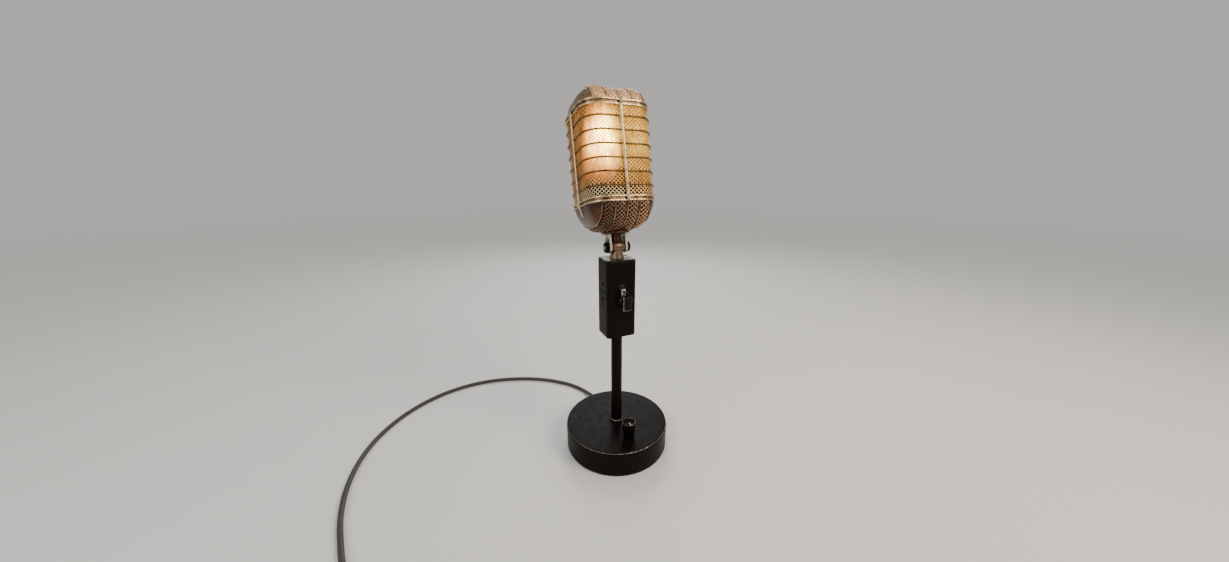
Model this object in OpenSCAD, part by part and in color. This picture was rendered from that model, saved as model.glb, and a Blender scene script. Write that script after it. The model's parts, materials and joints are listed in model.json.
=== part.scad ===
// Ribbon microphone head on a desk stand, fitted out as a table lamp.
// +Z is up, -Y is the front. The origin is the centre of the felt under the base.

/* [Base] */
// Outer diameter of the round base
base_d = 152; // [148:1:160]
// Height of the base above the table
base_h = 37; // [36:1:42]
// Wall and roof thickness of the base shell
base_wall = 3.5; // [3:0.5:4]
// Distance of the dimmer knob in front of the pole
knob_out = 43; // [40:1:46]
// Diameter of the dimmer knob at its top
knob_d = 20; // [18:0.5:22]

/* [Pole and connector housing] */
// Outer diameter of the pole
pole_d = 16; // [14:0.5:17]
// Length of pole that shows under the housing
pole_show = 144; // [120:1:180]
// Width of the connector housing
box_w = 42.5; // [40:0.5:46]
// Depth of the connector housing
box_d = 36; // [34:0.5:40]
// Height of the lower half, the jack
jack_h = 65; // [62:1:72]
// Height of the upper half, the plug
plug_h = 43; // [41:1:50]

/* [Neck] */
// Height of the tilt bolt above the housing
pivot_rise = 15; // [14:0.5:18]
// Lean of the head from upright, to the back
head_lean = 12.5; // [0:0.5:20]

/* [Head] */
// Width of the cage over its mesh
head_w = 91; // [88:0.5:94]
// Depth of the cage over its mesh
head_d = 92; // [90:0.5:96]
// Radius of the cage's upright corners
corner_r = 23.5; // [20:0.5:26]
// Distance from the tilt bolt to the cage's lower edge
cage_low = 57; // [56:0.5:60]
// Height of the cage between its two edges
cage_tall = 112.5; // [108:0.5:118]
// Number of mesh bands between the hoops
band_count = 7; // [5:1:9]
// Depth of the bottom dome
dome_deep = 37; // [36:0.5:38]
// Height of the top dome
dome_high = 27; // [22:0.5:32]
// Spacing of the ribs over the domes
rib_pitch = 16.5; // [15:0.5:17]

/* [Cord] */
// Diameter of the mains cord
cord_d = 6.5; // [6:0.1:7]
// Diameter of the coil at the middle of its turns
coil_mid_d = 71; // [66:1:78]

/* [Hidden] */
$fn = 48;

// Colours
black_paint = "#1b1a19";
nickel = "#c9c2b0";
bronze = "#5b4534";
gold_mesh = "#c08a50";
steel = "#8d8f90";
brass_col = "#b8923f";
rubber_col = "#2c2b29";
phenolic = "#3a2015";

// Base heights
felt_t = 1.5;
roof_z = base_h - base_wall;
cover_t = 2;
cover_z = felt_t + 0.1;
screw_ring_r = base_d / 2 - 11;
cord_exit_z = 11;
gap = 0.05;

// Heights up the stand
jack_z = base_h + pole_show;
seam = 0.6;
plug_z = jack_z + jack_h + seam;
plate_t = 2.5;
housing_top = plug_z + plug_h;
pivot_z = housing_top + pivot_rise;
box_r = 4.5;
box_wall = 2;
jack_floor = 3;
nut_t = 5.5;

// Contacts
insert_t = 20;
jack_insert_z = jack_z + jack_h - 2 - insert_t;
plug_insert_z = plug_z + 2;
plug_insert_t = 14;
pin_pitch = 9;
pin_r = 2;

// Latch
latch_x = 2;
latch_y = -box_d / 2 - 5.5;
latch_z = jack_z + jack_h - 9;
latch_w = 12;
latch_pin_r = 1.2;
ear_t = 1.5;
ear_x = latch_w / 2 + 1.7;

// Neck
post_w = 14;
post_r = 7.3;
eye_r = 7.6;
bolt_r = 3;
strap_in = 9.8;
strap_t = 3.2;
strap_r = 8;
strap_top = 17;
tilt_nut_in = strap_in + strap_t + 0.3;
tilt_nut_t = 4.5;
tilt_nut_r = 7;
boss_r = 19;
boss_neck_r = 15.8;
boss_top = 29;

// Cage
half_w = head_w / 2;
half_d = head_d / 2;
mesh_t = 1.2;
cage_high = cage_low + cage_tall;
trim_t = 1.8;
strip_h = 2.2;
strip_off = 2.5;
band_pitch = cage_tall / band_count;
rib_t = 1.4;
rib_proud = 1.8;
cheek_at = 2 * rib_pitch;
rod_w = 4;
rod_over = 4;

// Domes: outline exponent, and roundness across the width and the depth
outline_n = 4.2;
low_round = [3, 2.2];
top_round = [6, 2.3];
dome_sides = 48;
dome_rings = 8;

// Works
floor_t = 2;
works_low = cage_low + floor_t;
magnet_y = 27;
magnet_t = 10;
magnet_w = 56;
magnet_top = works_low + 45;
pole_top = magnet_top + 56;
ribbon_gap = 5.2;
bulb_x = -4;
bulb_y = 4;
holder_top = works_low + 26;
glass_top = holder_top + 65;

// Cord route on the table, from the strain relief to the coil
relief_len = 30;
relief_end = base_d / 2 + relief_len;
cord_z = cord_d / 2 + 0.05;
cord_route = [[0, relief_end, 10], [0, relief_end + 9, 8.2], [-1, relief_end + 19, 5.4],
              [-4, relief_end + 32, cord_z], [-14, 158, cord_z], [-32, 181, cord_z],
              [-60, 206, cord_z], [-95, 227, cord_z], [-135, 242, cord_z],
              [-175, 249, cord_z], [-215, 247, cord_z], [-255, 235, cord_z],
              [-292, 212, cord_z], [-322, 181, cord_z], [-345, 142, cord_z],
              [-358, 98, cord_z], [-362, 52, cord_z], [-358, 6, cord_z],
              [-348, -38, cord_z], [-336, -80, cord_z], [-327, -116, cord_z],
              [-322, -150, cord_z]];
coil_at = [-280, -155];
coil_turn_w = 3;
coil_layers = 2;
coil_in = coil_mid_d / 2 - coil_turn_w * cord_d / 2;
coil_out = coil_mid_d / 2 + coil_turn_w * cord_d / 2;
coil_tall = coil_layers * cord_d;
plug_at = [coil_at[0] + 58, coil_at[1] - coil_mid_d / 2 - cord_d / 2];
plug_mid_z = 8.8;
plug_len = 34;
tail_route = [[coil_at[0] + 22, plug_at[1], 9.8], [coil_at[0] + 36, plug_at[1], 9.4],
              [plug_at[0] - 10, plug_at[1], plug_mid_z]];
cord_sides = 10;
cord_step = 2.6;

// A rectangle with round corners, as squares and circles
module rounded(w, d, r) {
    square([w - 2 * r, d], center = true);
    square([w, d - 2 * r], center = true);
    for (sx = [-1, 1], sy = [-1, 1])
        translate([sx * (w / 2 - r), sy * (d / 2 - r)]) circle(r);
}

// An upright wall of that outline
module rounded_wall(w, d, r, wall, tall) {
    linear_extrude(tall) difference() {
        rounded(w, d, r);
        rounded(w - 2 * wall, d - 2 * wall, r - wall);
    }
}

// Puts a piece of the head in its place: the head's own origin is the tilt bolt
module on_head() {
    translate([0, 0, pivot_z]) rotate([-head_lean, 0, 0]) children();
}

// A round rod along X, from x0 to x1
module rod_x(x0, x1, r) {
    translate([x0, 0, 0]) rotate([0, 90, 0]) cylinder(h = x1 - x0, r = r);
}

// A round screw head with its flat side on z = 0
module screw_head(r, tall) {
    rotate_extrude($fn = 24)
        polygon([[0, 0], [r, 0], [r, tall * 0.35], [r * 0.72, tall * 0.85], [0, tall]]);
}

// Domes
// How far a point is out from the middle: 0 there and 1 on the outline
function outness(u, v, a, b) =
    pow(pow(abs(u / a), outline_n) + pow(abs(v / b), outline_n), 1 / outline_n);
// How round the dome is towards a point, between its across and its deep values
function roundness(u, v, bend) =
    let (c = abs(u) / max(norm([u, v]), 0.001)) bend[1] + (bend[0] - bend[1]) * c * c;
// Height of the dome over a point of its outline
function dome_h(u, v, a, b, tall, bend) =
    tall * sqrt(max(0, 1 - pow(min(1, outness(u, v, a, b)), roundness(u, v, bend))));
// The outline's point in a direction
function outline_pt(a, b, angle) =
    let (way = [cos(angle), sin(angle)]) way / outness(way[0], way[1], a, b);
// How far out a ring of the dome's mesh stands, from 1 at the outline
function ring_out(j) = cos(90 * j / dome_rings);
function dome_ring(a, b, tall, bend, j) =
    [for (i = [0 : dome_sides - 1])
        let (p = outline_pt(a, b, 360 * i / dome_sides) * ring_out(j))
        [p[0], p[1], j == 0 ? 0 : dome_h(p[0], p[1], a, b, tall, bend)]];
// The rings of one skin and its tip, as points
function skin_pts(a, b, tall, bend) =
    [for (j = [0 : dome_rings - 1]) each dome_ring(a, b, tall, bend, j), [0, 0, tall]];
function wrap(i) = (i + 1) % dome_sides;

module dome_shell(a, b, tall, bend, wall) {
    outer = skin_pts(a, b, tall, bend);
    inner = skin_pts(a - wall, b - wall, tall - wall, bend);
    n = dome_sides;
    m = len(outer);
    tip = m - 1;
    last = (dome_rings - 1) * n;
    polyhedron(points = concat(outer, inner), faces = concat(
        [for (j = [0 : dome_rings - 2], i = [0 : n - 1]) each [
            [j * n + i, (j + 1) * n + i, j * n + wrap(i)],
            [j * n + wrap(i), (j + 1) * n + i, (j + 1) * n + wrap(i)],
            [m + j * n + i, m + j * n + wrap(i), m + (j + 1) * n + i],
            [m + j * n + wrap(i), m + (j + 1) * n + wrap(i), m + (j + 1) * n + i]]],
        [for (i = [0 : n - 1]) each [
            [last + i, tip, last + wrap(i)], [m + last + i, m + last + wrap(i), m + tip],
            [i, wrap(i), m + i], [wrap(i), m + wrap(i), m + i]]]));
}

// The strip of the dome between the ribs, and the two smooth cheeks beside it
module dome_middle(tall, bend) {
    intersection() {
        dome_shell(half_w - 0.1, half_d - 0.1, tall, bend, mesh_t);
        translate([0, 0, tall / 2]) cube([2 * cheek_at, 2 * head_d, 2 * tall], center = true);
    }
}

module dome_cheeks(tall, bend) {
    for (side = [-1, 1]) intersection() {
        dome_shell(half_w - 0.1, half_d - 0.1, tall, bend, mesh_t);
        translate([side * (cheek_at + 0.2 + head_w / 2), 0, tall / 2])
            cube([head_w, 2 * head_d, 2 * tall], center = true);
    }
}

// A thin rib over the dome from front to back, at a distance from the middle
module dome_rib(u, tall, bend) {
    steps = 14;
    a = half_w;
    b = half_d;
    reach = b * pow(1 - pow(abs(u / a), outline_n), 1 / outline_n);
    over = [for (i = [0 : 2 * steps]) reach * sin(90 * (i - steps) / steps)];
    outer = [for (v = over) [v * (b + rib_proud) / b,
        dome_h(u, v * (b + rib_proud) / b, a + rib_proud, b + rib_proud, tall + rib_proud, bend)]];
    inner = [for (i = [2 * steps : -1 : 0]) [over[i], dome_h(u, over[i], a, b, tall, bend) + 0.3]];
    translate([u - rib_t / 2, 0, 0]) rotate([90, 0, 90]) linear_extrude(rib_t)
        intersection() {
            polygon(concat(outer, inner));
            translate([-head_d, strip_off + strip_h]) square([2 * head_d, 2 * tall]);
        }
}

module all_ribs(tall, bend) {
    for (i = [-2 : 2]) dome_rib(i * rib_pitch, tall, bend);
}

// Puts a dome's piece on the cage's lower edge, upside down, or on its upper edge
module under_cage() {
    on_head() translate([0, 0, cage_low]) mirror([0, 0, 1]) children();
}
module over_cage() {
    on_head() translate([0, 0, cage_high]) children();
}

// Cord
function unit(v) = v / max(norm(v), 0.0001);
// A point on the smooth curve through four route points
function curve_pt(a, b, c, d, t) =
    0.5 * (2 * b + (c - a) * t + (2 * a - 5 * b + 4 * c - d) * t * t
           + (3 * b - 3 * c + d - a) * t * t * t);
function route_at(pts, i) = pts[max(0, min(len(pts) - 1, i))];
// The route's curve, with a point about every cord_step diameters
function smooth(pts) = concat(
    [for (i = [0 : len(pts) - 2])
        let (n = max(1, round(norm(pts[i + 1] - pts[i]) / (cord_step * cord_d))))
        for (k = [0 : n - 1])
            curve_pt(route_at(pts, i - 1), pts[i], pts[i + 1], route_at(pts, i + 2), k / n)],
    [pts[len(pts) - 1]]);

module cord_tube(pts) {
    n = cord_sides;
    count = len(pts);
    rings = [for (i = [0 : count - 1])
        let (ahead = unit(pts[min(count - 1, i + 1)] - pts[max(0, i - 1)]),
             aside = unit(cross([0, 0, 1], ahead)),
             upward = cross(ahead, aside))
        for (k = [0 : n - 1])
            pts[i] + cord_d / 2 * (cos(360 * k / n) * aside + sin(360 * k / n) * upward)];
    polyhedron(points = rings, faces = concat(
        [[for (k = [0 : n - 1]) k]],
        [[for (k = [n - 1 : -1 : 0]) (count - 1) * n + k]],
        [for (i = [0 : count - 2], k = [0 : n - 1])
            let (q = (k + 1) % n) each [
                [i * n + k, (i + 1) * n + k, (i + 1) * n + q],
                [i * n + k, (i + 1) * n + q, i * n + q]]]));
}

// Base
module base_felt() {
    color("#3b3a36") cylinder(h = felt_t, r = base_d / 2 - 0.8, $fn = 96);
}

module base_shell() {
    edge = 2.5;
    outer_r = base_d / 2;
    inner_r = outer_r - base_wall;
    color(black_paint) difference() {
        union() {
            rotate_extrude($fn = 96) union() {
                difference() {
                    translate([0, felt_t]) square([outer_r, base_h - felt_t]);
                    translate([-1, 0]) square([inner_r + 1, roof_z]);
                    translate([outer_r - edge, base_h - edge]) square(edge + 1);
                }
                intersection() {
                    translate([outer_r - edge, base_h - edge]) circle(edge);
                    translate([outer_r - edge, base_h - edge]) square(edge + 1);
                }
            }
            for (k = [0 : 2]) rotate(60 + 120 * k)
                translate([screw_ring_r, 0, cover_z + cover_t + 0.1])
                    cylinder(h = roof_z - cover_z - cover_t, r = 4.5);
        }
        translate([0, 0, roof_z - 1]) cylinder(h = base_wall + 2, r = pole_d / 2 + gap);
        translate([0, -knob_out, roof_z - 1]) cylinder(h = base_wall + 2, r = 4);
        translate([0, inner_r - 3, cord_exit_z]) rotate([-90, 0, 0])
            cylinder(h = base_wall + 6, r = 5.5);
        for (k = [0 : 2]) rotate(60 + 120 * k) translate([screw_ring_r, 0, 0])
            cylinder(h = cover_z + cover_t + 9, r = 1.7);
    }
}

module base_cover() {
    color(steel) translate([0, 0, cover_z]) difference() {
        cylinder(h = cover_t, r = base_d / 2 - base_wall - 0.3, $fn = 96);
        for (k = [0 : 2]) rotate(60 + 120 * k) translate([screw_ring_r, 0, -1])
            cylinder(h = cover_t + 2, r = 2.1);
    }
}

// Pan-head screws that hold the cover, and two bolts that hold the weight to it
module base_screws() {
    color(steel) {
        for (k = [0 : 2]) rotate(60 + 120 * k) translate([screw_ring_r, 0, cover_z])
            cylinder(h = cover_t + 7, r = 1.65);
        for (side = [-1, 1]) translate([side * 46, 0, cover_z + cover_t + 12])
            screw_head(4, 3);
    }
}

module ballast_weight() {
    color("#4a4846") translate([0, 0, cover_z + cover_t]) difference() {
        cylinder(h = 12, r = 58, $fn = 96);
        translate([0, 0, -1]) cylinder(h = 14, r = 20);
        translate([-16, 10, -1]) cube([32, 60, 14]);
    }
}

module dimmer_body() {
    color("#6a6d6e") translate([0, -knob_out, 0]) difference() {
        union() {
            translate([0, 0, roof_z - 14]) cylinder(h = 14, r = 13);
            translate([0, 0, roof_z]) cylinder(h = base_wall + 3.5, r = 3.9);
            translate([0, 0, base_h]) cylinder(h = 2, r = 5.6, $fn = 6);
        }
        translate([0, 0, roof_z - 10]) cylinder(h = base_wall + 20, r = 3.05);
    }
}

module terminal_block() {
    color("#d8d2c0") difference() {
        translate([-13, 40, roof_z - 12]) cube([26, 13, 12]);
        for (side = [-1, 1]) translate([side * 6, 46.5, roof_z - 13]) cylinder(h = 8, r = 2);
    }
}

// Pole
module pole_tube() {
    color(black_paint) translate([0, 0, roof_z - nut_t - 2]) difference() {
        tall = jack_z + jack_floor + nut_t + 3 - roof_z + nut_t + 2;
        cylinder(h = tall, r = pole_d / 2);
        translate([0, 0, -1]) cylinder(h = tall + 2, r = pole_d / 2 - 1.5);
    }
}

module pole_collar() {
    color(black_paint) translate([0, 0, base_h]) rotate_extrude()
        polygon([[pole_d / 2 + gap, 0], [pole_d / 2 + 2.2, 0], [pole_d / 2 + 2.2, 1.6],
                 [pole_d / 2 + 1.4, 3], [pole_d / 2 + gap, 3]]);
}

module pole_nuts() {
    color(steel) for (z = [roof_z - nut_t, jack_z + jack_floor])
        translate([0, 0, z]) difference() {
            cylinder(h = nut_t, r = 14, $fn = 6);
            translate([0, 0, -1]) cylinder(h = nut_t + 2, r = pole_d / 2 + gap);
        }
}

module pole_lead() {
    color("#9a8f7a") translate([0, 0, roof_z - 8])
        cylinder(h = jack_insert_z - roof_z + 8, r = 2.6, $fn = 16);
}

// Connector housing
module jack_shell() {
    color(black_paint) translate([0, 0, jack_z]) difference() {
        union() {
            rounded_wall(box_w, box_d, box_r, box_wall, jack_h);
            linear_extrude(jack_floor) rounded(box_w, box_d, box_r);
        }
        translate([0, 0, -1]) cylinder(h = jack_floor + 2, r = pole_d / 2 + gap);
    }
}

module insert_block(tall) {
    linear_extrude(tall)
        rounded(box_w - 2 * box_wall - 0.2, box_d - 2 * box_wall - 0.2, box_r - box_wall);
}

module jack_insert() {
    color(phenolic) translate([0, 0, jack_insert_z]) difference() {
        insert_block(insert_t);
        for (k = [-1 : 1]) translate([k * pin_pitch, 0, 4])
            cylinder(h = insert_t, r = pin_r + 0.1);
    }
}

module plug_insert() {
    color(phenolic) translate([0, 0, plug_insert_z]) difference() {
        insert_block(plug_insert_t);
        for (k = [-1 : 1]) translate([k * pin_pitch, 0, -1])
            cylinder(h = plug_insert_t, r = pin_r + gap);
    }
}

module contact_pins() {
    color(brass_col) for (k = [-1 : 1]) translate([k * pin_pitch, 0, jack_insert_z + 8])
        cylinder(h = plug_insert_z + plug_insert_t - 2 - jack_insert_z - 8, r = pin_r);
}

module plug_shell() {
    color(black_paint) translate([0, 0, plug_z])
        rounded_wall(box_w, box_d, box_r, box_wall, plug_h - plate_t);
}

module plug_top_plate() {
    color("#34322f") translate([0, 0, housing_top - plate_t])
        linear_extrude(plate_t) rounded(box_w, box_d, box_r);
}

// Small countersunk screws that hold the two inserts in their shells
module shell_screws() {
    color(steel)
        for (side = [-1, 1], z = [jack_insert_z + insert_t / 2, plug_insert_z + plug_insert_t / 2])
            translate([side * (box_w / 2), 0, z]) rotate([0, side * 90, 0]) screw_head(2.3, 0.9);
}

// Latch
// Draws its children round the latch's pin
module at_latch() {
    translate([latch_x, latch_y, latch_z]) children();
}

module latch_bracket() {
    face = -box_d / 2 - latch_y;
    color(nickel) at_latch() difference() {
        union() {
            translate([-ear_x - ear_t, face - 1.2, -6]) cube([2 * (ear_x + ear_t), 1.2, 12]);
            for (side = [-1, 1]) translate([side * (ear_x + ear_t / 2), 0, 0]) {
                rotate([0, 90, 0]) cylinder(h = ear_t, r = 4, center = true);
                translate([-ear_t / 2, 0, -4]) cube([ear_t, face, 8]);
            }
        }
        rod_x(-20, 20, latch_pin_r);
    }
}

module latch_pin() {
    color(nickel) at_latch() rod_x(-ear_x - ear_t, ear_x + ear_t, latch_pin_r);
}

// Spring round the pin, between the lever and the left ear
module latch_spring() {
    wire = 0.3;
    color(steel) at_latch() translate([-ear_x + 0.75, 0, 0]) rotate([0, 90, 0])
        rotate_extrude($fn = 24) {
            for (k = [-0.5, 0.5]) translate([2.1, k * 2 * wire * 0.9]) circle(wire, $fn = 13);
            translate([2.1 - wire / 2, -wire]) square([wire, 2 * wire]);
        }
}

module latch_lever() {
    color(black_paint) at_latch() difference() {
        union() {
            translate([-latch_w / 2, -8, -14]) cube([latch_w, 10.3, 14]);
            translate([-latch_w / 2, -8, 0]) cube([latch_w, 9.5, 6]);
        }
        rod_x(-20, 20, latch_pin_r + 0.05);
    }
}

// Claw that stands on the lever and reaches over the keeper
module latch_hook() {
    nose_z = plug_z - latch_z + 3.5;
    reach = 4.3;
    color(nickel) at_latch() {
        translate([-6, -1.6, 6]) cube([6, 1.8, nose_z - 4]);
        translate([-6, 0.2, nose_z]) cube([6, reach - 0.2, 2]);
    }
}

module latch_keeper() {
    lip_z = plug_z + 1;
    color(nickel) translate([latch_x - 7, 0, 0]) {
        translate([0, -box_d / 2 - 1, lip_z]) cube([8, 1, 9]);
        translate([0, -box_d / 2 - 3.2, lip_z]) cube([8, 2.2, 2]);
    }
}

// Neck
module neck_post() {
    color(bronze) difference() {
        union() {
            translate([0, 0, housing_top]) cylinder(h = pivot_rise, r = post_r);
            translate([0, 0, housing_top]) cylinder(h = 2, r = 10);
            translate([0, 0, pivot_z]) rod_x(-post_w / 2, post_w / 2, eye_r);
        }
        translate([0, 0, pivot_z]) rod_x(-20, 20, bolt_r + 0.05);
    }
}

module pivot_bolt() {
    bolt_end = tilt_nut_in + tilt_nut_t + 1;
    color(steel) on_head() rod_x(-bolt_end, bolt_end, bolt_r);
}

// Black thumb nut with a milled edge; side is -1 for the left and 1 for the right
module tilt_nut(side) {
    notches = 24;
    color(black_paint) on_head() difference() {
        rod_x(side < 0 ? -tilt_nut_in - tilt_nut_t : tilt_nut_in,
              side < 0 ? -tilt_nut_in : tilt_nut_in + tilt_nut_t, tilt_nut_r);
        rod_x(-30, 30, bolt_r + 0.05);
        for (k = [0 : notches - 1]) rotate([k * 360 / notches, 0, 0])
            translate([side * (tilt_nut_in + tilt_nut_t / 2), 0, tilt_nut_r])
                cube([tilt_nut_t + 1, 0.7, 0.8], center = true);
    }
}
module tilt_nut_left() { tilt_nut(-1); }
module tilt_nut_right() { tilt_nut(1); }

module friction_washers() {
    color("#7b5a35") on_head() for (side = [-1, 1]) difference() {
        rod_x(side < 0 ? -strap_in : post_w / 2 + 0.3, side < 0 ? -post_w / 2 - 0.3 : strap_in, 6);
        rod_x(-20, 20, bolt_r + gap);
    }
}

module fork_straps() {
    color(nickel) on_head() for (side = [-1, 1])
        translate([side < 0 ? -strap_in - strap_t : strap_in, 0, 0])
            rotate([90, 0, 90]) linear_extrude(strap_t) difference() {
                union() {
                    circle(strap_r);
                    translate([-strap_r, 0]) square([2 * strap_r, strap_top]);
                }
                circle(bolt_r + gap);
            }
}

// Dark boss under the head, with a spigot that comes down between the straps
module fork_boss() {
    spigot_low = 7;
    color(bronze) on_head() difference() {
        union() {
            translate([0, 0, spigot_low]) cylinder(h = strap_top - spigot_low, r = post_w / 2);
            translate([0, 0, strap_top]) rotate_extrude()
                polygon([[0, 0], [boss_r - 1.5, 0], [boss_r, 1.5], [boss_r, 3.2],
                         [boss_neck_r, 3.2], [boss_neck_r, boss_top - strap_top],
                         [0, boss_top - strap_top]]);
        }
        rod_x(-20, 20, eye_r + 0.4);
        translate([0, 0, -1]) cylinder(h = boss_top + 2, r = 3.2);
    }
}

// Head
module bottom_cheeks() {
    color(bronze) under_cage() dome_cheeks(dome_deep, low_round);
}

module bottom_mesh() {
    color(gold_mesh) under_cage() difference() {
        dome_middle(dome_deep, low_round);
        cylinder(h = 2 * dome_deep, r = boss_neck_r + 0.3);
    }
}

module bottom_ribs() {
    color(nickel) under_cage() difference() {
        all_ribs(dome_deep, low_round);
        cylinder(h = 2 * dome_deep, r = boss_r + 0.5);
    }
}

// A pair of bright strips, one on the cage and one on the dome
module rim_pair(w) {
    color(nickel) on_head() for (off = [-strip_off, strip_off])
        translate([0, 0, w + off - strip_h / 2])
            rounded_wall(head_w + 2 * trim_t, head_d + 2 * trim_t, corner_r + trim_t,
                         trim_t, strip_h);
}
module lower_rims() { rim_pair(cage_low); }
module upper_rims() { rim_pair(cage_high); }

module cage_mesh() {
    color(gold_mesh) on_head() translate([0, 0, cage_low])
        rounded_wall(head_w, head_d, corner_r, mesh_t, cage_tall);
}

module cage_hoops() {
    color(nickel) on_head() for (k = [1 : band_count - 1])
        translate([0, 0, cage_low + k * band_pitch - strip_h / 2])
            rounded_wall(head_w + 2 * trim_t, head_d + 2 * trim_t, corner_r + trim_t,
                         trim_t, strip_h);
}

// Four upright rods over the hoops; the side ones run on down over the cheeks
function cheek_x(h) = half_w * pow(1 - pow(h / dome_deep, 2), 1 / low_round[0]);

module cage_rods() {
    run = [for (k = [0 : 5]) rod_over + 1 + k * 2.2];
    tail = concat([[half_w + trim_t, rod_over], [half_w + 2 * trim_t, rod_over]],
                  [for (h = run) [cheek_x(h) + 2, h]],
                  [for (k = [5 : -1 : 0]) [cheek_x(run[k]) + 0.3, run[k]]]);
    tall = cage_tall + 2 * rod_over;
    color(nickel) on_head() {
        for (side = [-1, 1]) {
            translate([side * (half_w + 1.5 * trim_t), 0, cage_low + cage_tall / 2])
                cube([trim_t, rod_w, tall], center = true);
            translate([0, side * (half_d + 1.5 * trim_t), cage_low + cage_tall / 2])
                cube([rod_w, trim_t, tall], center = true);
        }
        translate([0, 0, cage_low]) mirror([0, 0, 1]) for (turn = [0, 180]) rotate(turn)
            translate([0, rod_w / 2, 0]) rotate([90, 0, 0]) linear_extrude(rod_w) polygon(tail);
    }
}

module rod_screws() {
    color(nickel) on_head() for (w = [cage_low, cage_high], turn = [0 : 90 : 270])
        translate([0, 0, w]) rotate(turn)
            translate([turn % 180 == 0 ? half_w + 2 * trim_t : half_d + 2 * trim_t, 0, 0])
                rotate([0, 90, 0]) screw_head(2.6, 1.5);
}

module top_cheeks() {
    color("#8c8674") over_cage() dome_cheeks(dome_high, top_round);
}
module top_mesh() {
    color(gold_mesh) over_cage() dome_middle(dome_high, top_round);
}
module top_ribs() {
    color(nickel) over_cage() all_ribs(dome_high, top_round);
}

// Works inside the head
module chassis() {
    inner = mesh_t + 0.1;
    color(steel) on_head() translate([0, 0, cage_low]) difference() {
        linear_extrude(floor_t)
            rounded(head_w - 2 * inner, head_d - 2 * inner, corner_r - inner);
        translate([0, -22, -1]) cylinder(h = floor_t + 2, r = 5);
        for (side = [-1, 1]) translate([side * 30, -14, -1]) cylinder(h = floor_t + 2, r = 7);
    }
}

module magnet() {
    arm = 14;
    color("#55504a") on_head() translate([0, magnet_y + magnet_t, works_low]) rotate([90, 0, 0])
        linear_extrude(magnet_t) difference() {
            translate([-magnet_w / 2, 0]) square([magnet_w, magnet_top - works_low]);
            translate([-magnet_w / 2 + arm, 30]) square([magnet_w - 2 * arm, 40]);
            translate([0, 30]) circle(magnet_w / 2 - arm);
        }
}

module pole_pieces() {
    base_t = 8;
    color(steel) on_head() for (turn = [0, 1]) mirror([turn, 0, 0])
        translate([0, magnet_y + magnet_t - 1, magnet_top]) rotate([90, 0, 0])
            linear_extrude(magnet_t - 2) polygon([
                [ribbon_gap / 2, 0], [magnet_w / 2, 0], [magnet_w / 2, base_t],
                [13, base_t + 6], [10, pole_top - magnet_top],
                [ribbon_gap / 2, pole_top - magnet_top]]);
}

// Corrugated foil that hangs in the gap
module ribbon() {
    folds = 28;
    foil = 0.25;
    low = magnet_top + 4;
    pitch = (pole_top - low) / folds;
    front = [for (k = [0 : folds]) [magnet_y + magnet_t / 2 + (k % 2 == 0 ? 0.4 : -0.4),
                                    low + k * pitch]];
    back = [for (k = [folds : -1 : 0]) front[k] + [foil, 0]];
    color("#dcdcda") on_head() translate([-2.3, 0, 0]) rotate([90, 0, 90]) linear_extrude(4.6)
        polygon(concat(front, back));
}

module ribbon_clamps() {
    mid = magnet_y + magnet_t / 2;
    color(brass_col) on_head() {
        translate([-2.4, mid - 2.5, magnet_top]) cube([4.8, 5, 4]);
        translate([-9, mid - 3, pole_top]) cube([18, 6, 3.5]);
    }
}

module transformer() {
    tall = 18;
    color("#4b4f55") on_head() translate([0, 0, cage_low - tall]) {
        translate([-17, -11, 0]) cube([34, 22, tall]);
        translate([-10, -15, 2]) cube([20, 30, tall - 4]);
    }
}

module lamp_holder() {
    color("#e4dfd0") on_head() translate([bulb_x, bulb_y, works_low])
        cylinder(h = holder_top - works_low, r = 14);
}

// Glass envelope: a neck that widens to a long round bulb
module bulb_glass() {
    wall = 1;
    body_r = 17;
    neck_r = 11;
    tall = glass_top - holder_top;
    color("#ffe2b0", 0.5) on_head() translate([bulb_x, bulb_y, holder_top]) rotate_extrude()
        difference() {
            union() {
                square([neck_r, 12]);
                polygon([[0, 8], [neck_r, 8], [body_r, 24], [body_r, tall - body_r],
                         [0, tall - body_r]]);
                intersection() {
                    translate([0, tall - body_r]) circle(body_r);
                    square([body_r, tall]);
                }
            }
            translate([-1, -1]) square([neck_r - wall + 1, 10]);
            polygon([[-1, 8.5], [neck_r - wall, 8.5], [body_r - wall, 24.3],
                     [body_r - wall, tall - body_r], [-1, tall - body_r]]);
            intersection() {
                translate([0, tall - body_r]) circle(body_r - wall);
                translate([-1, tall - body_r - 1]) square([body_r + 1, body_r + 1]);
            }
        }
}

// Glass stem with a cage of glowing wires round it
module filament() {
    wires = 8;
    low = 20;
    high = 50;
    color("#ffcf70") on_head() translate([bulb_x, bulb_y, holder_top]) {
        cylinder(h = high, r = 1.6, $fn = 16);
        for (z = [low, high - 1.2]) translate([0, 0, z]) cylinder(h = 1.2, r = 7.4, $fn = 24);
        for (k = [0 : wires - 1]) rotate(k * 360 / wires) translate([6.4, 0, low + 0.5])
            cylinder(h = high - low - 1, r = 0.5, $fn = 13);
    }
}

// Dimmer knob
module dimmer_shaft() {
    color(steel) translate([0, -knob_out, roof_z - 8]) cylinder(h = base_h + 18 - roof_z + 8, r = 3);
}

module dimmer_knob() {
    foot = 1;
    tall = 22;
    foot_r = knob_d / 2 - 2.2;
    color("#201f1e") translate([0, -knob_out, base_h + foot]) difference() {
        rotate_extrude() polygon([[0, 0], [foot_r, 0], [knob_d / 2 - 0.6, tall - 1],
                                  [knob_d / 2 - 1.2, tall], [knob_d / 2 - 2.4, tall - 0.2],
                                  [0, tall - 1.4]]);
        translate([0, 0, -1]) cylinder(h = 18, r = 3);
        translate([0, 0, -1]) cylinder(h = 4, r = 6.2);
    }
}

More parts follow.
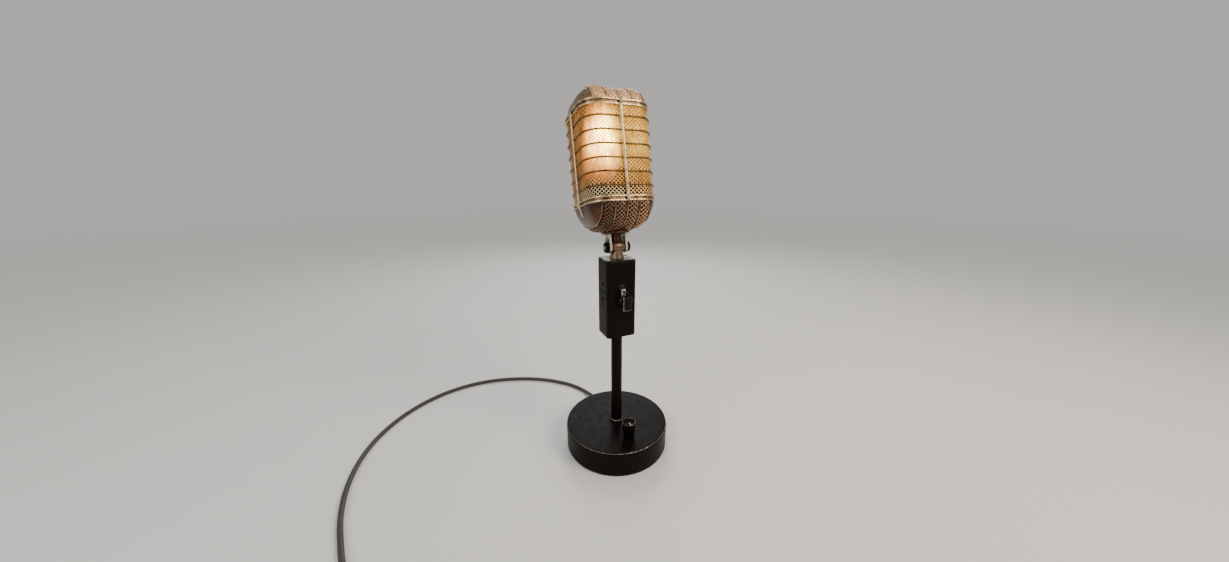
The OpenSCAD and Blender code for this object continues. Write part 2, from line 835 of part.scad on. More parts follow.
module knob_pointer() {
    tall = 22;
    color("#d9d2bf") translate([-0.5, -knob_out - knob_d / 2 + 3, base_h + tall - 0.4])
        cube([1, 6, 0.9]);
}

// Cord and what is on it
module strain_relief() {
    color(rubber_col) translate([0, base_d / 2 - base_wall - 2, cord_exit_z]) difference() {
        union() {
            rotate([-90, 0, 0]) cylinder(h = base_wall + 3, r = 5.4);
            translate([0, base_wall + 2, 0]) rotate([-90, 0, 0])
                cylinder(h = 3, r = 7);
            translate([0, base_wall + 5, 0]) rotate([-90, 0, 0])
                cylinder(h = relief_len - 3, r1 = 6.2, r2 = cord_d / 2 + 0.8);
        }
        translate([0, -1, 0]) rotate([-90, 0, 0]) cylinder(h = relief_len, r = cord_d / 2);
    }
}

module mains_cord() {
    color(rubber_col) {
        cord_tube(smooth(cord_route));
        cord_tube(smooth(tail_route));
    }
}

module cord_coil() {
    color(rubber_col) translate([coil_at[0], coil_at[1], 0.1]) rotate_extrude()
        translate([coil_in, 0]) square([coil_out - coil_in, coil_tall]);
}

module mains_plug() {
    color(rubber_col) translate([plug_at[0], plug_at[1], plug_mid_z]) {
        rotate([0, 90, 0]) translate([0, 0, -10]) cylinder(h = 10, r1 = 4.6, r2 = 6.5);
        rotate([90, 0, 90]) linear_extrude(plug_len) rounded(25, 17, 5);
    }
}

module plug_pins() {
    color(brass_col) for (side = [-1, 1])
        translate([plug_at[0] + plug_len, plug_at[1] + side * 6.35 - 0.75, plug_mid_z - 3.2])
            cube([17.5, 1.5, 6.4]);
}

base_felt();
base_shell();
base_cover();
base_screws();
ballast_weight();
pole_tube();
pole_collar();
pole_nuts();
dimmer_body();
terminal_block();
strain_relief();
mains_cord();
cord_coil();
mains_plug();
plug_pins();
pole_lead();
jack_shell();
jack_insert();
plug_shell();
plug_top_plate();
plug_insert();
contact_pins();
shell_screws();
latch_bracket();
latch_keeper();
latch_spring();
latch_pin();
neck_post();
latch_lever();
latch_hook();
dimmer_shaft();
dimmer_knob();
knob_pointer();
pivot_bolt();
tilt_nut_left();
tilt_nut_right();
friction_washers();
fork_straps();
fork_boss();
bottom_cheeks();
bottom_mesh();
bottom_ribs();
lower_rims();
cage_mesh();
cage_hoops();
cage_rods();
rod_screws();
upper_rims();
top_cheeks();
top_mesh();
top_ribs();
chassis();
magnet();
pole_pieces();
ribbon();
ribbon_clamps();
transformer();
lamp_holder();
bulb_glass();
filament();
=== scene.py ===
# Caged ribbon microphone on a desk stand, wired as a table lamp.
import json
import math
import bpy
import numpy as np
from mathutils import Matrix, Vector


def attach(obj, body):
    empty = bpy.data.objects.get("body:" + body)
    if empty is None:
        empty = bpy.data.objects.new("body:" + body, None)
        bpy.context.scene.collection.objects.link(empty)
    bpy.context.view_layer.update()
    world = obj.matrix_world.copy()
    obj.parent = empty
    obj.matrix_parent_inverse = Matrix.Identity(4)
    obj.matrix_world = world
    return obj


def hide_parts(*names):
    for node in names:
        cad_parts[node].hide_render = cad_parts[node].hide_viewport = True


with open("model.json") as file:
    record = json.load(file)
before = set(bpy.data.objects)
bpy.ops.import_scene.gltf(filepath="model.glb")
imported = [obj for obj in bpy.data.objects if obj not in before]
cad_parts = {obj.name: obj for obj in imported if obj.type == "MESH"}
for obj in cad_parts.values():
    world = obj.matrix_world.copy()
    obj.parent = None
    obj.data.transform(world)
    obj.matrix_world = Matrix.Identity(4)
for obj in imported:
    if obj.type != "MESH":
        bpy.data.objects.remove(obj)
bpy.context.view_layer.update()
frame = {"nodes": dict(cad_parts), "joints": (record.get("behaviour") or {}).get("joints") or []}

mm = 0.001
scene = bpy.context.scene
nodes = frame["nodes"]
joints = {joint["name"]: joint for joint in frame["joints"]}
pivot = np.array(joints["head_tilt"]["pos_m"]) / mm
headLean = math.radians(12.5)   # how the head stands at rest, leaning back


# Lengths are in millimetres until makePiece turns them to metres.
# The head's own axes start at the tilt bolt and lean back with it
def fromHead(points):
    p = np.asarray(points, float)
    c, s = math.cos(headLean), math.sin(headLean)
    return np.stack([p[..., 0], p[..., 1] * c + p[..., 2] * s,
                     p[..., 2] * c - p[..., 1] * s], -1) + pivot


# Camera: angles in degrees, distance from the upright axis and height in metres, lens in mm
camera = {"azimuth": -24.3, "distance": 0.4701, "height": 0.3903, "pitch": 15.82,
          "yaw": 0.37, "lens": 10.4}


def makeCamera(c):
    turn = math.radians(c["azimuth"])
    data = bpy.data.cameras.new("camera")
    data.lens = c["lens"]
    data.clip_start = 0.01
    body = bpy.data.objects.new("camera", data)
    body.location = (math.sin(turn) * c["distance"], -math.cos(turn) * c["distance"],
                     c["height"])
    body.rotation_euler = (math.radians(90 - c["pitch"]), 0, turn + math.radians(c["yaw"]))
    scene.collection.objects.link(body)
    scene.camera = body


makeCamera(camera)


# Mesh making: every shape is a grid of points, joined by quads

# Quads of a rows by cols grid, with either way round joined up
def gridFaces(rows, cols, wrapRows=False, wrapCols=False):
    r, c = np.meshgrid(np.arange(rows if wrapRows else rows - 1),
                       np.arange(cols if wrapCols else cols - 1), indexing="ij")
    r2, c2 = (r + 1) % rows, (c + 1) % cols
    return np.stack([r * cols + c, r * cols + c2, r2 * cols + c2, r2 * cols + c],
                    -1).reshape(-1, 4).tolist()


# Six times the volume inside, by the fan of each face: negative if it is inside out
def signedVolume(verts, faces):
    total = 0.0
    for size in {len(f) for f in faces}:
        f = np.array([g for g in faces if len(g) == size])
        for k in range(1, size - 1):
            a, b, c = verts[f[:, 0]], verts[f[:, k]], verts[f[:, k + 1]]
            total += np.einsum("ij,ij->", a, np.cross(b, c))
    return total


# A closed shape: points, faces pointing out, and how worn each point is, from 0 to 1; on edges it runs up
# to 1.15, and past 0.85 the painted-black finishes draw a painted highlight from it as well as wear
def shape(verts, faces, wear=None):
    verts = np.asarray(verts, float).reshape(-1, 3)
    if signedVolume(verts - verts.mean(0), faces) < 0:
        faces = [list(f)[::-1] for f in faces]
    wear = np.zeros(len(verts)) if wear is None else np.asarray(wear, float).reshape(-1)
    return verts, faces, wear


# Rings of points one after another; ends are fanned to their middle, or joined round
def rings(points, wear=None, loop=False):
    points = np.asarray(points, float)
    rows, cols = points.shape[:2]
    wear = np.zeros((rows, cols)) if wear is None else np.broadcast_to(wear, (rows, cols))
    verts = points.reshape(-1, 3)
    faces = gridFaces(rows, cols, wrapRows=loop, wrapCols=True)
    w = wear.reshape(-1)
    if not loop:
        last = (rows - 1) * cols
        faces += [[k, rows * cols, (k + 1) % cols] for k in range(cols)]
        faces += [[last + k, last + (k + 1) % cols, rows * cols + 1] for k in range(cols)]
        verts = np.vstack([verts, points[0].mean(0), points[-1].mean(0)])
        w = np.append(w, [wear[0].mean(), wear[-1].mean()])
    return shape(verts, faces, w)


# Two matching grids, closed round all four edges
def thickSheet(outer, inner, wear=None):
    rows, cols = outer.shape[:2]
    n = rows * cols
    front = gridFaces(rows, cols)
    back = [[n + k for k in f[::-1]] for f in front]
    rim = np.concatenate([np.arange(cols), np.arange(1, rows) * cols + cols - 1,
                          n - 2 - np.arange(cols - 1), np.arange(rows - 2, 0, -1) * cols])
    nextRim = np.roll(rim, -1)
    side = np.stack([rim, rim + n, nextRim + n, nextRim], -1).tolist()
    w = None if wear is None else np.concatenate([wear.reshape(-1)] * 2)
    return shape(np.vstack([outer.reshape(-1, 3), inner.reshape(-1, 3)]), front + back + side, w)


# Turns a profile of (radius, height) rows round the upright through a centre; ripple
# scales the radius by direction, as far as each row's third number says
def lathe(profile, centre=(0, 0, 0), sides=96, wear=None, loop=False, ripple=None):
    profile = np.asarray(profile, float)
    turn = np.linspace(0, 2 * np.pi, sides, endpoint=False)
    r = np.repeat(profile[:, :1], sides, 1)
    if ripple is not None:
        r = r * (1 + profile[:, 2:3] * (ripple(turn)[None] - 1))
    z = np.repeat(profile[:, 1:2], sides, 1)
    pts = np.stack([r * np.cos(turn), r * np.sin(turn), z], -1) + np.asarray(centre, float)
    return rings(pts, None if wear is None else np.asarray(wear, float)[:, None], loop)


# A profile's corner rounded off: points on a quarter circle from one direction to another
def arc(centreR, centreZ, radius, start, end, count=6):
    a = np.radians(np.linspace(start, end, count))
    return np.stack([centreR + radius * np.cos(a), centreZ + radius * np.sin(a)], -1)


# Points and outward normals along a rectangle with round corners, by distance round it
class Outline:
    def __init__(self, halfW, halfD, radius, steps=16):
        a = np.radians(np.linspace(0, 90, steps))
        pts, way = [], []
        for k, (sx, sy) in enumerate([(1, -1), (1, 1), (-1, 1), (-1, -1)]):
            turn = a + np.radians(-90 + 90 * k)
            way.append(np.stack([np.cos(turn), np.sin(turn)], -1))
            pts.append(np.array([sx * (halfW - radius), sy * (halfD - radius)]) + radius * way[-1])
        start = np.array([[0.0, -halfD]])
        self.pts = np.vstack([start] + pts + [start])
        down = np.array([[0.0, -1.0]])
        self.way = np.vstack([down] + way + [down])
        step = np.linalg.norm(np.diff(self.pts, axis=0), axis=1)
        self.dist = np.append(0, np.cumsum(step))
        self.length = self.dist[-1]

    def at(self, s):
        s = np.mod(s, self.length)
        x, y, nx, ny = (np.interp(s, self.dist, col) for col in
                        (self.pts[:, 0], self.pts[:, 1], self.way[:, 0], self.way[:, 1]))
        size = np.hypot(nx, ny)
        return np.stack([x, y], -1), np.stack([nx / size, ny / size], -1)

    # How near each of the distances is to the middle of a round corner, 1 there
    def corner(self, s):
        _, way = self.at(s)
        return np.clip(np.abs(way[:, 0] * way[:, 1]) * 2, 0, 1)


# Distances round an outline, close together on its corners only
def roundStations(line, along=4):
    out = []
    for a, b in zip(line.dist[:-1], line.dist[1:]):
        n = along if b - a > 4 else 1
        out.append(a + (b - a) * np.arange(n) / n)
    return np.concatenate(out)


# Stacks an outline at several (inset, height) steps, closed at both ends or joined round
def stackOutline(line, steps, place=lambda p: p, wear=None, loop=False):
    s = roundStations(line)
    base, way = line.at(s)
    steps = np.asarray(steps, float)
    xy = base[None] - steps[:, None, :1] * way[None]
    z = np.repeat(steps[:, None, 1:], len(s), 1)
    w = None
    if wear is not None:
        w = np.maximum(np.asarray(wear, float)[:, None], 0.45 * line.corner(s)[None])
    return rings(place(np.concatenate([xy, z], -1)), w, loop)


# Carries a closed section of (out, up) points round an outline
def sweepOutline(line, section, place=lambda p: p):
    return stackOutline(line, np.asarray(section, float) * [-1, 1], place, loop=True)


# A closed section: a rectangle with its corners rounded
def roundedSection(wide, tall, radius, steps=4):
    parts = []
    for k, (sx, sy) in enumerate([(1, -1), (1, 1), (-1, 1), (-1, -1)]):
        parts.append(arc(sx * (wide / 2 - radius), sy * (tall / 2 - radius), radius,
                         -90 + 90 * k, 90 * k, steps))
    return np.vstack(parts)


# A closed section: flat on one side, and a flattened round on the other
def domedSection(wide, tall, steps=8):
    a = np.linspace(-np.pi / 2, np.pi / 2, steps)
    out = wide * np.cos(a) ** 0.7
    return np.stack([out, tall / 2 * np.sin(a)], -1)


# Carries a section along a path; side is the section's first way, and lift its second
def sweepPath(path, side, lift, section, scale=None, wear=None):
    path, side, lift = (np.asarray(v, float) for v in (path, side, lift))
    side = np.broadcast_to(side, path.shape)
    lift = np.broadcast_to(lift, path.shape)
    size = np.ones(len(path)) if scale is None else np.asarray(scale, float)
    pts = (path[:, None] + size[:, None, None] * (section[None, :, :1] * side[:, None]
                                                  + section[None, :, 1:] * lift[:, None]))
    return rings(pts, wear)


# A smooth curve through points, as even steps along its length
def smoothPath(points, step):
    p = np.asarray(points, float)
    ends = np.vstack([2 * p[0] - p[1], p, 2 * p[-1] - p[-2]])
    t = np.linspace(0, 1, 24, endpoint=False)[:, None]
    out = []
    for a, b, c, d in zip(ends, ends[1:], ends[2:], ends[3:]):
        out.append(0.5 * (2 * b + (c - a) * t + (2 * a - 5 * b + 4 * c - d) * t ** 2
                          + (3 * b - 3 * c + d - a) * t ** 3))
    out = np.vstack(out + [p[-1:]])
    dist = np.append(0, np.cumsum(np.linalg.norm(np.diff(out, axis=0), axis=1)))
    even = np.linspace(0, dist[-1], max(2, int(round(dist[-1] / step))))
    return np.stack([np.interp(even, dist, out[:, k]) for k in range(3)], -1)


# A round tube along a path that is never upright
def tubeAlong(path, radius, sides=14):
    ahead = np.gradient(path, axis=0)
    ahead /= np.linalg.norm(ahead, axis=1, keepdims=True)
    side = np.cross([0, 0, 1.0], ahead)
    side /= np.linalg.norm(side, axis=1, keepdims=True)
    lift = np.cross(ahead, side)
    a = np.linspace(0, 2 * np.pi, sides, endpoint=False)
    return sweepPath(path, side, lift, radius * np.stack([np.cos(a), np.sin(a)], -1))


# Puts shapes into one mesh object, smooth but for its sharp edges
def makePiece(name, shapes, body, slot, material, replaces=(), sharp=40):
    verts, faces, wear, start = [], [], [], 0
    for v, f, w in shapes:
        verts.append(v)
        faces += [[k + start for k in face] for face in f]
        wear.append(w)
        start += len(v)
    mesh = bpy.data.meshes.new(name)
    mesh.from_pydata((np.vstack(verts) * mm).tolist(), [], faces)
    mesh.polygons.foreach_set("use_smooth", np.ones(len(mesh.polygons), bool))
    mesh.set_sharp_from_angle(angle=math.radians(sharp))
    worn = mesh.attributes.new("wear", "FLOAT", "POINT")
    worn.data.foreach_set("value", np.concatenate(wear))
    mesh.materials.append(material)
    piece = bpy.data.objects.new(name, mesh)
    scene.collection.objects.link(piece)
    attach(piece, body)
    if replaces:
        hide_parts(*replaces)
    return piece


# Hex colour as shown on a screen, turned to linear light
def colour(hexValue):
    rgb = [int(hexValue[k:k + 2], 16) / 255 for k in (1, 3, 5)]
    return [c / 12.92 if c <= 0.04045 else ((c + 0.055) / 1.055) ** 2.4 for c in rgb] + [1]


# Gives a node's inputs their numbers, colours or other nodes' outputs
def connect(material, node, inputs):
    for name, value in inputs.items():
        if isinstance(value, bpy.types.NodeSocket):
            material.node_tree.links.new(value, node.inputs[name])
        else:
            node.inputs[name].default_value = value


# Adds one node with its settings and inputs; gives back its named output, or the first in use
def addNode(material, kind, inputs=None, output=None, **settings):
    node = material.node_tree.nodes.new("ShaderNode" + kind)
    for name, value in settings.items():
        setattr(node, name, value)
    connect(material, node, inputs or {})
    return node.outputs[output] if output else next(s for s in node.outputs if s.enabled)


def newMaterial(name):
    material = bpy.data.materials.new(name)
    material.use_nodes = True
    return material, material.node_tree.nodes["Principled BSDF"]


# Noise whose blotches are about so many millimetres across; between is stretched to fill to
def blotches(material, size, detail=3.0, roughness=0.55, between=None, to=(0.0, 1.0), stretch=(1, 1, 1)):
    place = addNode(material, "TexCoord", output="Object")
    turned = addNode(material, "Mapping", {"Vector": place, "Scale": stretch})
    noise = addNode(material, "TexNoise", {"Vector": turned, "Scale": 1000 / size, "Detail": detail,
                                           "Roughness": roughness})
    if between is None:
        return noise
    return addNode(material, "MapRange", {0: noise, 1: between[0], 2: between[1], 3: to[0], 4: to[1]})


# Satin stove enamel on steel: soft wide highlights, and bright metal where chips of a few
# millimetres are rubbed through, the more so the greater the piece's own wear. Where the wear passes
# 0.85 a smooth pale band follows the edge, partly rubbed metal and partly a painted highlight
def paintedBlack(name, paint, bare, wornBy, roughLow=0.3, roughHigh=0.5, gloss=0.06):
    m, shader = newMaterial(name)
    wear = addNode(m, "Attribute", output="Fac", attribute_name="wear")
    broken = addNode(m, "Math", {0: wear, 1: blotches(m, 3, 5, 0.65)}, operation="MULTIPLY")
    chips = addNode(m, "MapRange", {0: broken, 1: 0.62 - wornBy, 2: 0.70 - wornBy})
    # smooth pale band on edges worn past 0.85: rubbed metal and a painted highlight of the edge's gloss
    rubbedAndSheen = addNode(m, "MapRange", {0: wear, 1: 0.85, 2: 1.15, 4: 0.75})
    worn = addNode(m, "Math", {0: chips, 1: rubbedAndSheen}, operation="MAXIMUM")
    patch = blotches(m, 35, 4)
    film = addNode(m, "Mix", {0: patch, 6: colour(paint), 7: colour("#16100b")}, data_type="RGBA")
    peel = blotches(m, 1.2, 2)   # the fine unevenness of sprayed enamel
    connect(m, shader, {
        "Base Color": addNode(m, "Mix", {0: worn, 6: film, 7: colour(bare)}, data_type="RGBA"),
        "Metallic": addNode(m, "MapRange", {0: worn, 4: 0.85}), "Specular IOR Level": gloss,
        "Roughness": blotches(m, 9, 6, 0.7, (0.3, 0.75), (roughLow, roughHigh)),
        "Normal": addNode(m, "Bump", {"Height": peel, "Distance": 0.03 * mm, "Strength": 0.6})})
    return m


# Old nickel plate: warm, a little dull, browned in patches of some seven millimetres
def agedNickel(name, bright, tarnish, amount, roughLow=0.2, roughHigh=0.42):
    m, shader = newMaterial(name)
    patch = blotches(m, 7, 6, 0.65, (0.62 - amount, 0.85 - amount))
    pits = blotches(m, 2.5, 4)
    connect(m, shader, {
        "Base Color": addNode(m, "Mix", {0: patch, 6: colour(bright), 7: colour(tarnish)}, data_type="RGBA"),
        "Metallic": 1.0, "Roughness": blotches(m, 3, 5, 0.7, (0.3, 0.7), (roughLow, roughHigh)),
        "Normal": addNode(m, "Bump", {"Height": pits, "Distance": 0.04 * mm, "Strength": 0.5})})
    return m


# Brown bronzing over brass: lacquer with the brass showing through in clouds
def bronzed(name, dark, light, roughness=0.34):
    m, shader = newMaterial(name)
    cloud = blotches(m, 16, 6, 0.6, (0.35, 0.75))
    connect(m, shader, {
        "Base Color": addNode(m, "Mix", {0: cloud, 6: colour(dark), 7: colour(light)}, data_type="RGBA"),
        "Metallic": 0.75, "Coat Weight": 0.25, "Coat Roughness": 0.2,
        "Roughness": blotches(m, 4, 5, 0.7, (0.3, 0.7), (roughness - 0.08, roughness + 0.12)),
        "Normal": addNode(m, "Bump", {"Height": blotches(m, 3, 4), "Distance": 0.05 * mm, "Strength": 0.5})})
    return m


# A plain finish, uneven in colour and gloss by patches of so many millimetres; bump is the
# grain's depth in millimetres, and glow is the colour and strength of its own light
def uneven(name, first, second, size, roughness, bump=0.05, metallic=0.0, grain=1.0, glow=None):
    m, shader = newMaterial(name)
    patch = blotches(m, size, 5)
    grains = blotches(m, grain, 3)
    gloss = blotches(m, size * 0.6, 4, between=(0.3, 0.7), to=(roughness - 0.08, roughness + 0.08))
    connect(m, shader, {
        "Base Color": addNode(m, "Mix", {0: patch, 6: colour(first), 7: colour(second)}, data_type="RGBA"),
        "Metallic": metallic, "Roughness": gloss,
        "Normal": addNode(m, "Bump", {"Height": grains, "Distance": bump * mm, "Strength": 0.7})})
    if glow:
        connect(m, shader, {"Emission Color": colour(glow[0]), "Emission Strength": glow[1]})
    return m


# How near each point is to a place in the head: 1 at the first distance, 0 at the second;
# upright shrinks heights, so that the lit patch stands taller than it is wide
def nearness(m, centre, near, far, upright=1.0):
    place = addNode(m, "TexCoord", output="Object")
    middle = [float(x) for x in fromHead(centre) * mm]
    apart = addNode(m, "VectorMath", {0: place, 1: middle}, operation="SUBTRACT")
    flat = addNode(m, "VectorMath", {0: apart, 1: [1, 1, upright]}, operation="MULTIPLY")
    size = addNode(m, "VectorMath", {0: flat}, operation="LENGTH")
    return addNode(m, "MapRange", {0: size, 1: far * mm, 2: near * mm})


# Height up the head's own axis, as 0 at one height and 1 at another
def upHead(m, low, high):
    axis = [0.0, math.sin(headLean), math.cos(headLean)]
    place = addNode(m, "TexCoord", output="Object")
    along = addNode(m, "VectorMath", {0: place, 1: axis}, operation="DOT_PRODUCT")
    start = float(np.dot(pivot, axis))
    return addNode(m, "MapRange", {0: along, 1: (start + low) * mm, 2: (start + high) * mm})


# Where the painted glow and the painted shade lie, in the head's own axes: near and far are where it is full
# and spent
glowSet = {
    "bulb": [16, -18, 134], "wires": (28, 90), "gauze": [18, -18, 132], "gauzeReach": (28, 98),
    "hotWires": [-23, -33, 118], "hotGauze": [-23, -31, 118], "hotUpright": 0.4,
    "shade": [-14, -44, 66], "shadeReach": (20, 34), "foot": (70, 77),
}
g = glowSet


# Brass-washed steel screen: gold wire, browner in clouds and paler at the foot, with a painted glow near the
# bulb standing in for its light from inside; foot is the two colours there, from one side to the other, a
# painted side light
def screenWire(name, gold, brown, glow, foot):
    m, shader = newMaterial(name)
    cloud = blotches(m, 14, 4, between=(0.35, 0.7))
    # painted glow: stronger near the bulb and at the hot spot
    near = nearness(m, g["bulb"], *g["wires"])
    lit = addNode(m, "Math", {0: near, 1: 1.6}, operation="POWER")
    warm = addNode(m, "Math", {0: lit, 1: upHead(m, 60, 80)}, operation="MULTIPLY")
    spot = nearness(m, g["hotWires"], 6, 27, g["hotUpright"])
    hot = addNode(m, "Math", {0: spot, 1: 2.2}, operation="POWER")
    both = addNode(m, "Math", {0: hot, 1: 20.0, 2: warm}, operation="MULTIPLY_ADD")
    wire = addNode(m, "Mix", {0: cloud, 6: colour(gold), 7: colour(brown)}, data_type="RGBA")
    # painted side light: the foot's colour runs from left to right
    place = addNode(m, "TexCoord", output="Object")
    across = addNode(m, "SeparateXYZ", {0: place}, output="X")
    paintedSideLight = addNode(m, "MapRange", {0: across, 1: -25 * mm, 2: 35 * mm})
    footWire = addNode(m, "Mix", {0: paintedSideLight, 6: colour(foot[0]), 7: colour(foot[1])}, data_type="RGBA")
    yellow = addNode(m, "MapRange", {0: lit, 1: 0.15, 2: 0.7})
    connect(m, shader, {
        "Base Color": addNode(m, "Mix", {0: upHead(m, 68, 76), 6: footWire, 7: wire}, data_type="RGBA"),
        "Metallic": 0.85, "Roughness": blotches(m, 4, 4, between=(0.3, 0.7), to=(0.28, 0.45)),
        "Emission Color": addNode(m, "Mix", {0: yellow, 6: colour("#ff8420"), 7: colour("#ffc648")},
                                  data_type="RGBA"),
        "Emission Strength": addNode(m, "Math", {0: both, 1: glow}, operation="MULTIPLY")})
    return m


# Gauze behind the screen: a painted glow standing in for the bulb shining through it, orange, yellow where
# the bulb is close; black at the foot, painted shade
def lampGauze(name):
    m, shader = newMaterial(name)
    near = nearness(m, g["gauze"], *g["gauzeReach"])
    glow = addNode(m, "Math", {0: near, 1: 2.6}, operation="POWER")
    # painted shade: near the foot the gauze goes black and stops glowing
    shaded = addNode(m, "MapRange", {0: nearness(m, g["shade"], *g["shadeReach"]), 3: 1.0, 4: 0.0})
    clear = addNode(m, "Math", {0: upHead(m, *g["foot"]), 1: shaded}, operation="MAXIMUM")
    mottle = blotches(m, 8, 4, between=(0.3, 0.7), to=(0.6, 1.6))
    speckle = blotches(m, 1.8, 3, 0.7, (0.3, 0.7), (0.5, 1.5))
    patches = addNode(m, "Math", {0: mottle, 1: speckle}, operation="MULTIPLY")
    wide = addNode(m, "Math", {0: glow, 1: patches}, operation="MULTIPLY")
    spot = nearness(m, g["hotGauze"], 6, 28, g["hotUpright"])
    hot = addNode(m, "Math", {0: spot, 1: 2.2}, operation="POWER")
    streak = blotches(m, 7, 4, 0.6, (0.35, 0.65), (0.35, 1.15), (1, 1, 0.3))
    broken = addNode(m, "Math", {0: hot, 1: streak}, operation="MULTIPLY")
    both = addNode(m, "Math", {0: broken, 1: 30.0, 2: wide}, operation="MULTIPLY_ADD")
    yellow = addNode(m, "MapRange", {0: near, 1: 0.35, 2: 0.8})
    yellower = addNode(m, "Math", {0: yellow, 1: streak}, operation="MULTIPLY")
    tint = addNode(m, "Mix", {0: yellower, 6: colour("#d4600e"), 7: colour("#ffcf50")}, data_type="RGBA")
    cloth = addNode(m, "Mix", {0: clear, 6: colour("#060403"), 7: colour("#4a2a12")}, data_type="RGBA")
    connect(m, shader, {
        "Base Color": cloth,
        "Emission Color": addNode(m, "Mix", {0: hot, 6: tint, 7: colour("#fff09c")}, data_type="RGBA"),
        "Emission Strength": addNode(m, "Math", {0: both, 1: clear}, operation="MULTIPLY"),
        "Roughness": 0.9, "Specular IOR Level": 0.1})
    gaps = addNode(m, "Math", {0: clear, 1: 0.12}, operation="MULTIPLY")
    mixed = addNode(m, "MixShader", {0: gaps, 1: shader.outputs[0], 2: addNode(m, "BsdfTransparent")})
    connect(m, m.node_tree.nodes["Material Output"], {"Surface": mixed})
    return m


# Frosted bulb glass, evenly lit from inside, hotter at its middle
def frostedGlass(name):
    m, shader = newMaterial(name)
    connect(m, shader, {
        "Base Color": colour("#fff1dc"), "Roughness": 0.35, "Emission Color": colour("#ffdfae"),
        "Emission Strength": addNode(m, "MapRange", {0: nearness(m, [-4, 4, 122], 14, 36), 3: 4.0, 4: 14.0})})
    return m


skyColour, skyStrength = "#f4f2ee", 0.55


# Pale matt table top that fades into the room's own tone, from 1.2 to 6 metres out
def paleGround(name):
    m, shader = newMaterial(name)
    place = addNode(m, "TexCoord", output="Object")
    far = addNode(m, "VectorMath", {0: place}, operation="LENGTH")
    fade = addNode(m, "MapRange", {0: far, 1: 1.2, 2: 6.0})
    sky = addNode(m, "Emission", {"Color": colour(skyColour), "Strength": skyStrength})
    patch = blotches(m, 400, 5)
    top = addNode(m, "Mix", {0: patch, 6: colour("#f1efeb"), 7: colour("#f6f4f0")}, data_type="RGBA")
    connect(m, shader, {
        "Base Color": top,
        "Normal": addNode(m, "Bump", {"Height": blotches(m, 8, 3), "Distance": 0.02 * mm, "Strength": 0.7}),
        "Roughness": 0.6})
    mixed = addNode(m, "MixShader", {0: fade, 1: shader.outputs[0], 2: sky})
    connect(m, m.node_tree.nodes["Material Output"], {"Surface": mixed})
    return m


# Near-black satin enamel: a soft sheen, thin bright lines where edges have chipped, and on the most worn
# edges a smooth pale line that is partly a painted highlight
blackEnamel = paintedBlack("blackEnamel", "#0d0907", "#9c9a94", 0.14)
# The same enamel rubbed by fingers: greyer, duller, with more of the metal showing
rubbedEnamel = paintedBlack("rubbedEnamel", "#15100c", "#98928a", 0.25, 0.34, 0.55, 0.1)
# Nickel drawn dark on its faces, a painted dark reflection, and bright along its rims, partly rubbed plate
# and partly a painted highlight
darkNickel = paintedBlack("darkNickel", "#2e2822", "#cfc5b0", 0.22, 0.25, 0.4, 0.4)
# Nickel under soot and old grease: almost black, with small grey glints
sootyNickel = paintedBlack("sootyNickel", "#151210", "#7d776c", 0.12, 0.3, 0.5, 0.3)
# Bakelite worn at the rim: dark and smooth, with a pale line where it is handled, partly a painted highlight
rubbedBakelite = paintedBlack("rubbedBakelite", "#0b0908", "#a09a90", 0.18, 0.3, 0.45, 0.03)
# Polished nickel, warm with age: clear highlights broken by brown patches
brightNickel = agedNickel("brightNickel", "#d8c19a", "#82664a", 0.16, 0.22, 0.42)
# Nickel for the ribs under the head: dull brown, painted shade, with soft highlights
shadedRibNickel = agedNickel("shadedRibNickel", "#9a8a70", "#5b4c39", 0.2)
# Thin plate over brass, gone olive brown and drawn browner still as a painted reflection of warm dark
# surroundings: broad, cloudy reflections
oliveNickel = agedNickel("oliveNickel", "#9a8262", "#64503a", 0.2, 0.3, 0.5)
# Hoop wire: nickel drawn dark brown, painted shade and a painted dark reflection, with a warm top edge
shadedHoopNickel = agedNickel("shadedHoopNickel", "#8a6c48", "#4a3420", 0.2, 0.25, 0.5)
# Bronzed brass, handled: greyish brown with lighter worn clouds
bronze = bronzed("bronze", "#4e3b2d", "#947860")
# Bronzed brass under the head: a deeper red brown than the neck's, painted shade, under a thin gloss
shadedBronze = bronzed("shadedBronze", "#2e1707", "#5e3314", 0.3)
# Screens: gold round the cage, cream on top as painted light from the room, brown underneath as painted shade
goldScreen = screenWire("goldScreen", "#f4c67c", "#b87c38", 0.34, ("#e8d2a0", "#e6b87c"))
litTopScreen = screenWire("litTopScreen", "#ffeccb", "#e3c193", 0.4, ("#ffeccb", "#ffeccb"))
shadedUnderScreen = screenWire("shadedUnderScreen", "#b98a5e", "#5c4029", 0.0, ("#7a5840", "#d8a27c"))
# Cotton gauze: an even, grainy amber glow, painted light standing in for the bulb shining through it, that
# hides the works
lampCloth = lampGauze("lampGauze")
# Frosted glass and the wire inside it: the two brightest things in the head
litGlass = frostedGlass("litGlass")
hotWire = uneven("hotWire", "#ffb050", "#ff9030", 2, 0.5, glow=("#ff9a3c", 20.0))
# Cream gauze under the top: a faint painted glow, so that the top looks pale and closed
crownGauze = uneven("crownGauze", "#c79f6c", "#a87c4c", 6, 0.9, 0.05, glow=("#ffb868", 0.22))
# Black silk: a dark sheet of painted shade that swallows light, so that the mesh before it reads as dark
# diamonds
shadowSilk = uneven("shadowSilk", "#080605", "#120d0a", 5, 0.8, 0.05)
# Matt table top: takes soft shadows and gives no reflections
paleFloor = paleGround("paleFloor")
# Moulded bakelite: smooth, near black, with a clear sheen
bakelite = uneven("bakelite", "#12100e", "#1d1916", 12, 0.28, 0.03)
# Plasticised vinyl: dark grey, half matt, so the cord shows one soft highlight
pvcJacket = uneven("pvcJacket", "#33332f", "#3f3e39", 20, 0.5, 0.05)
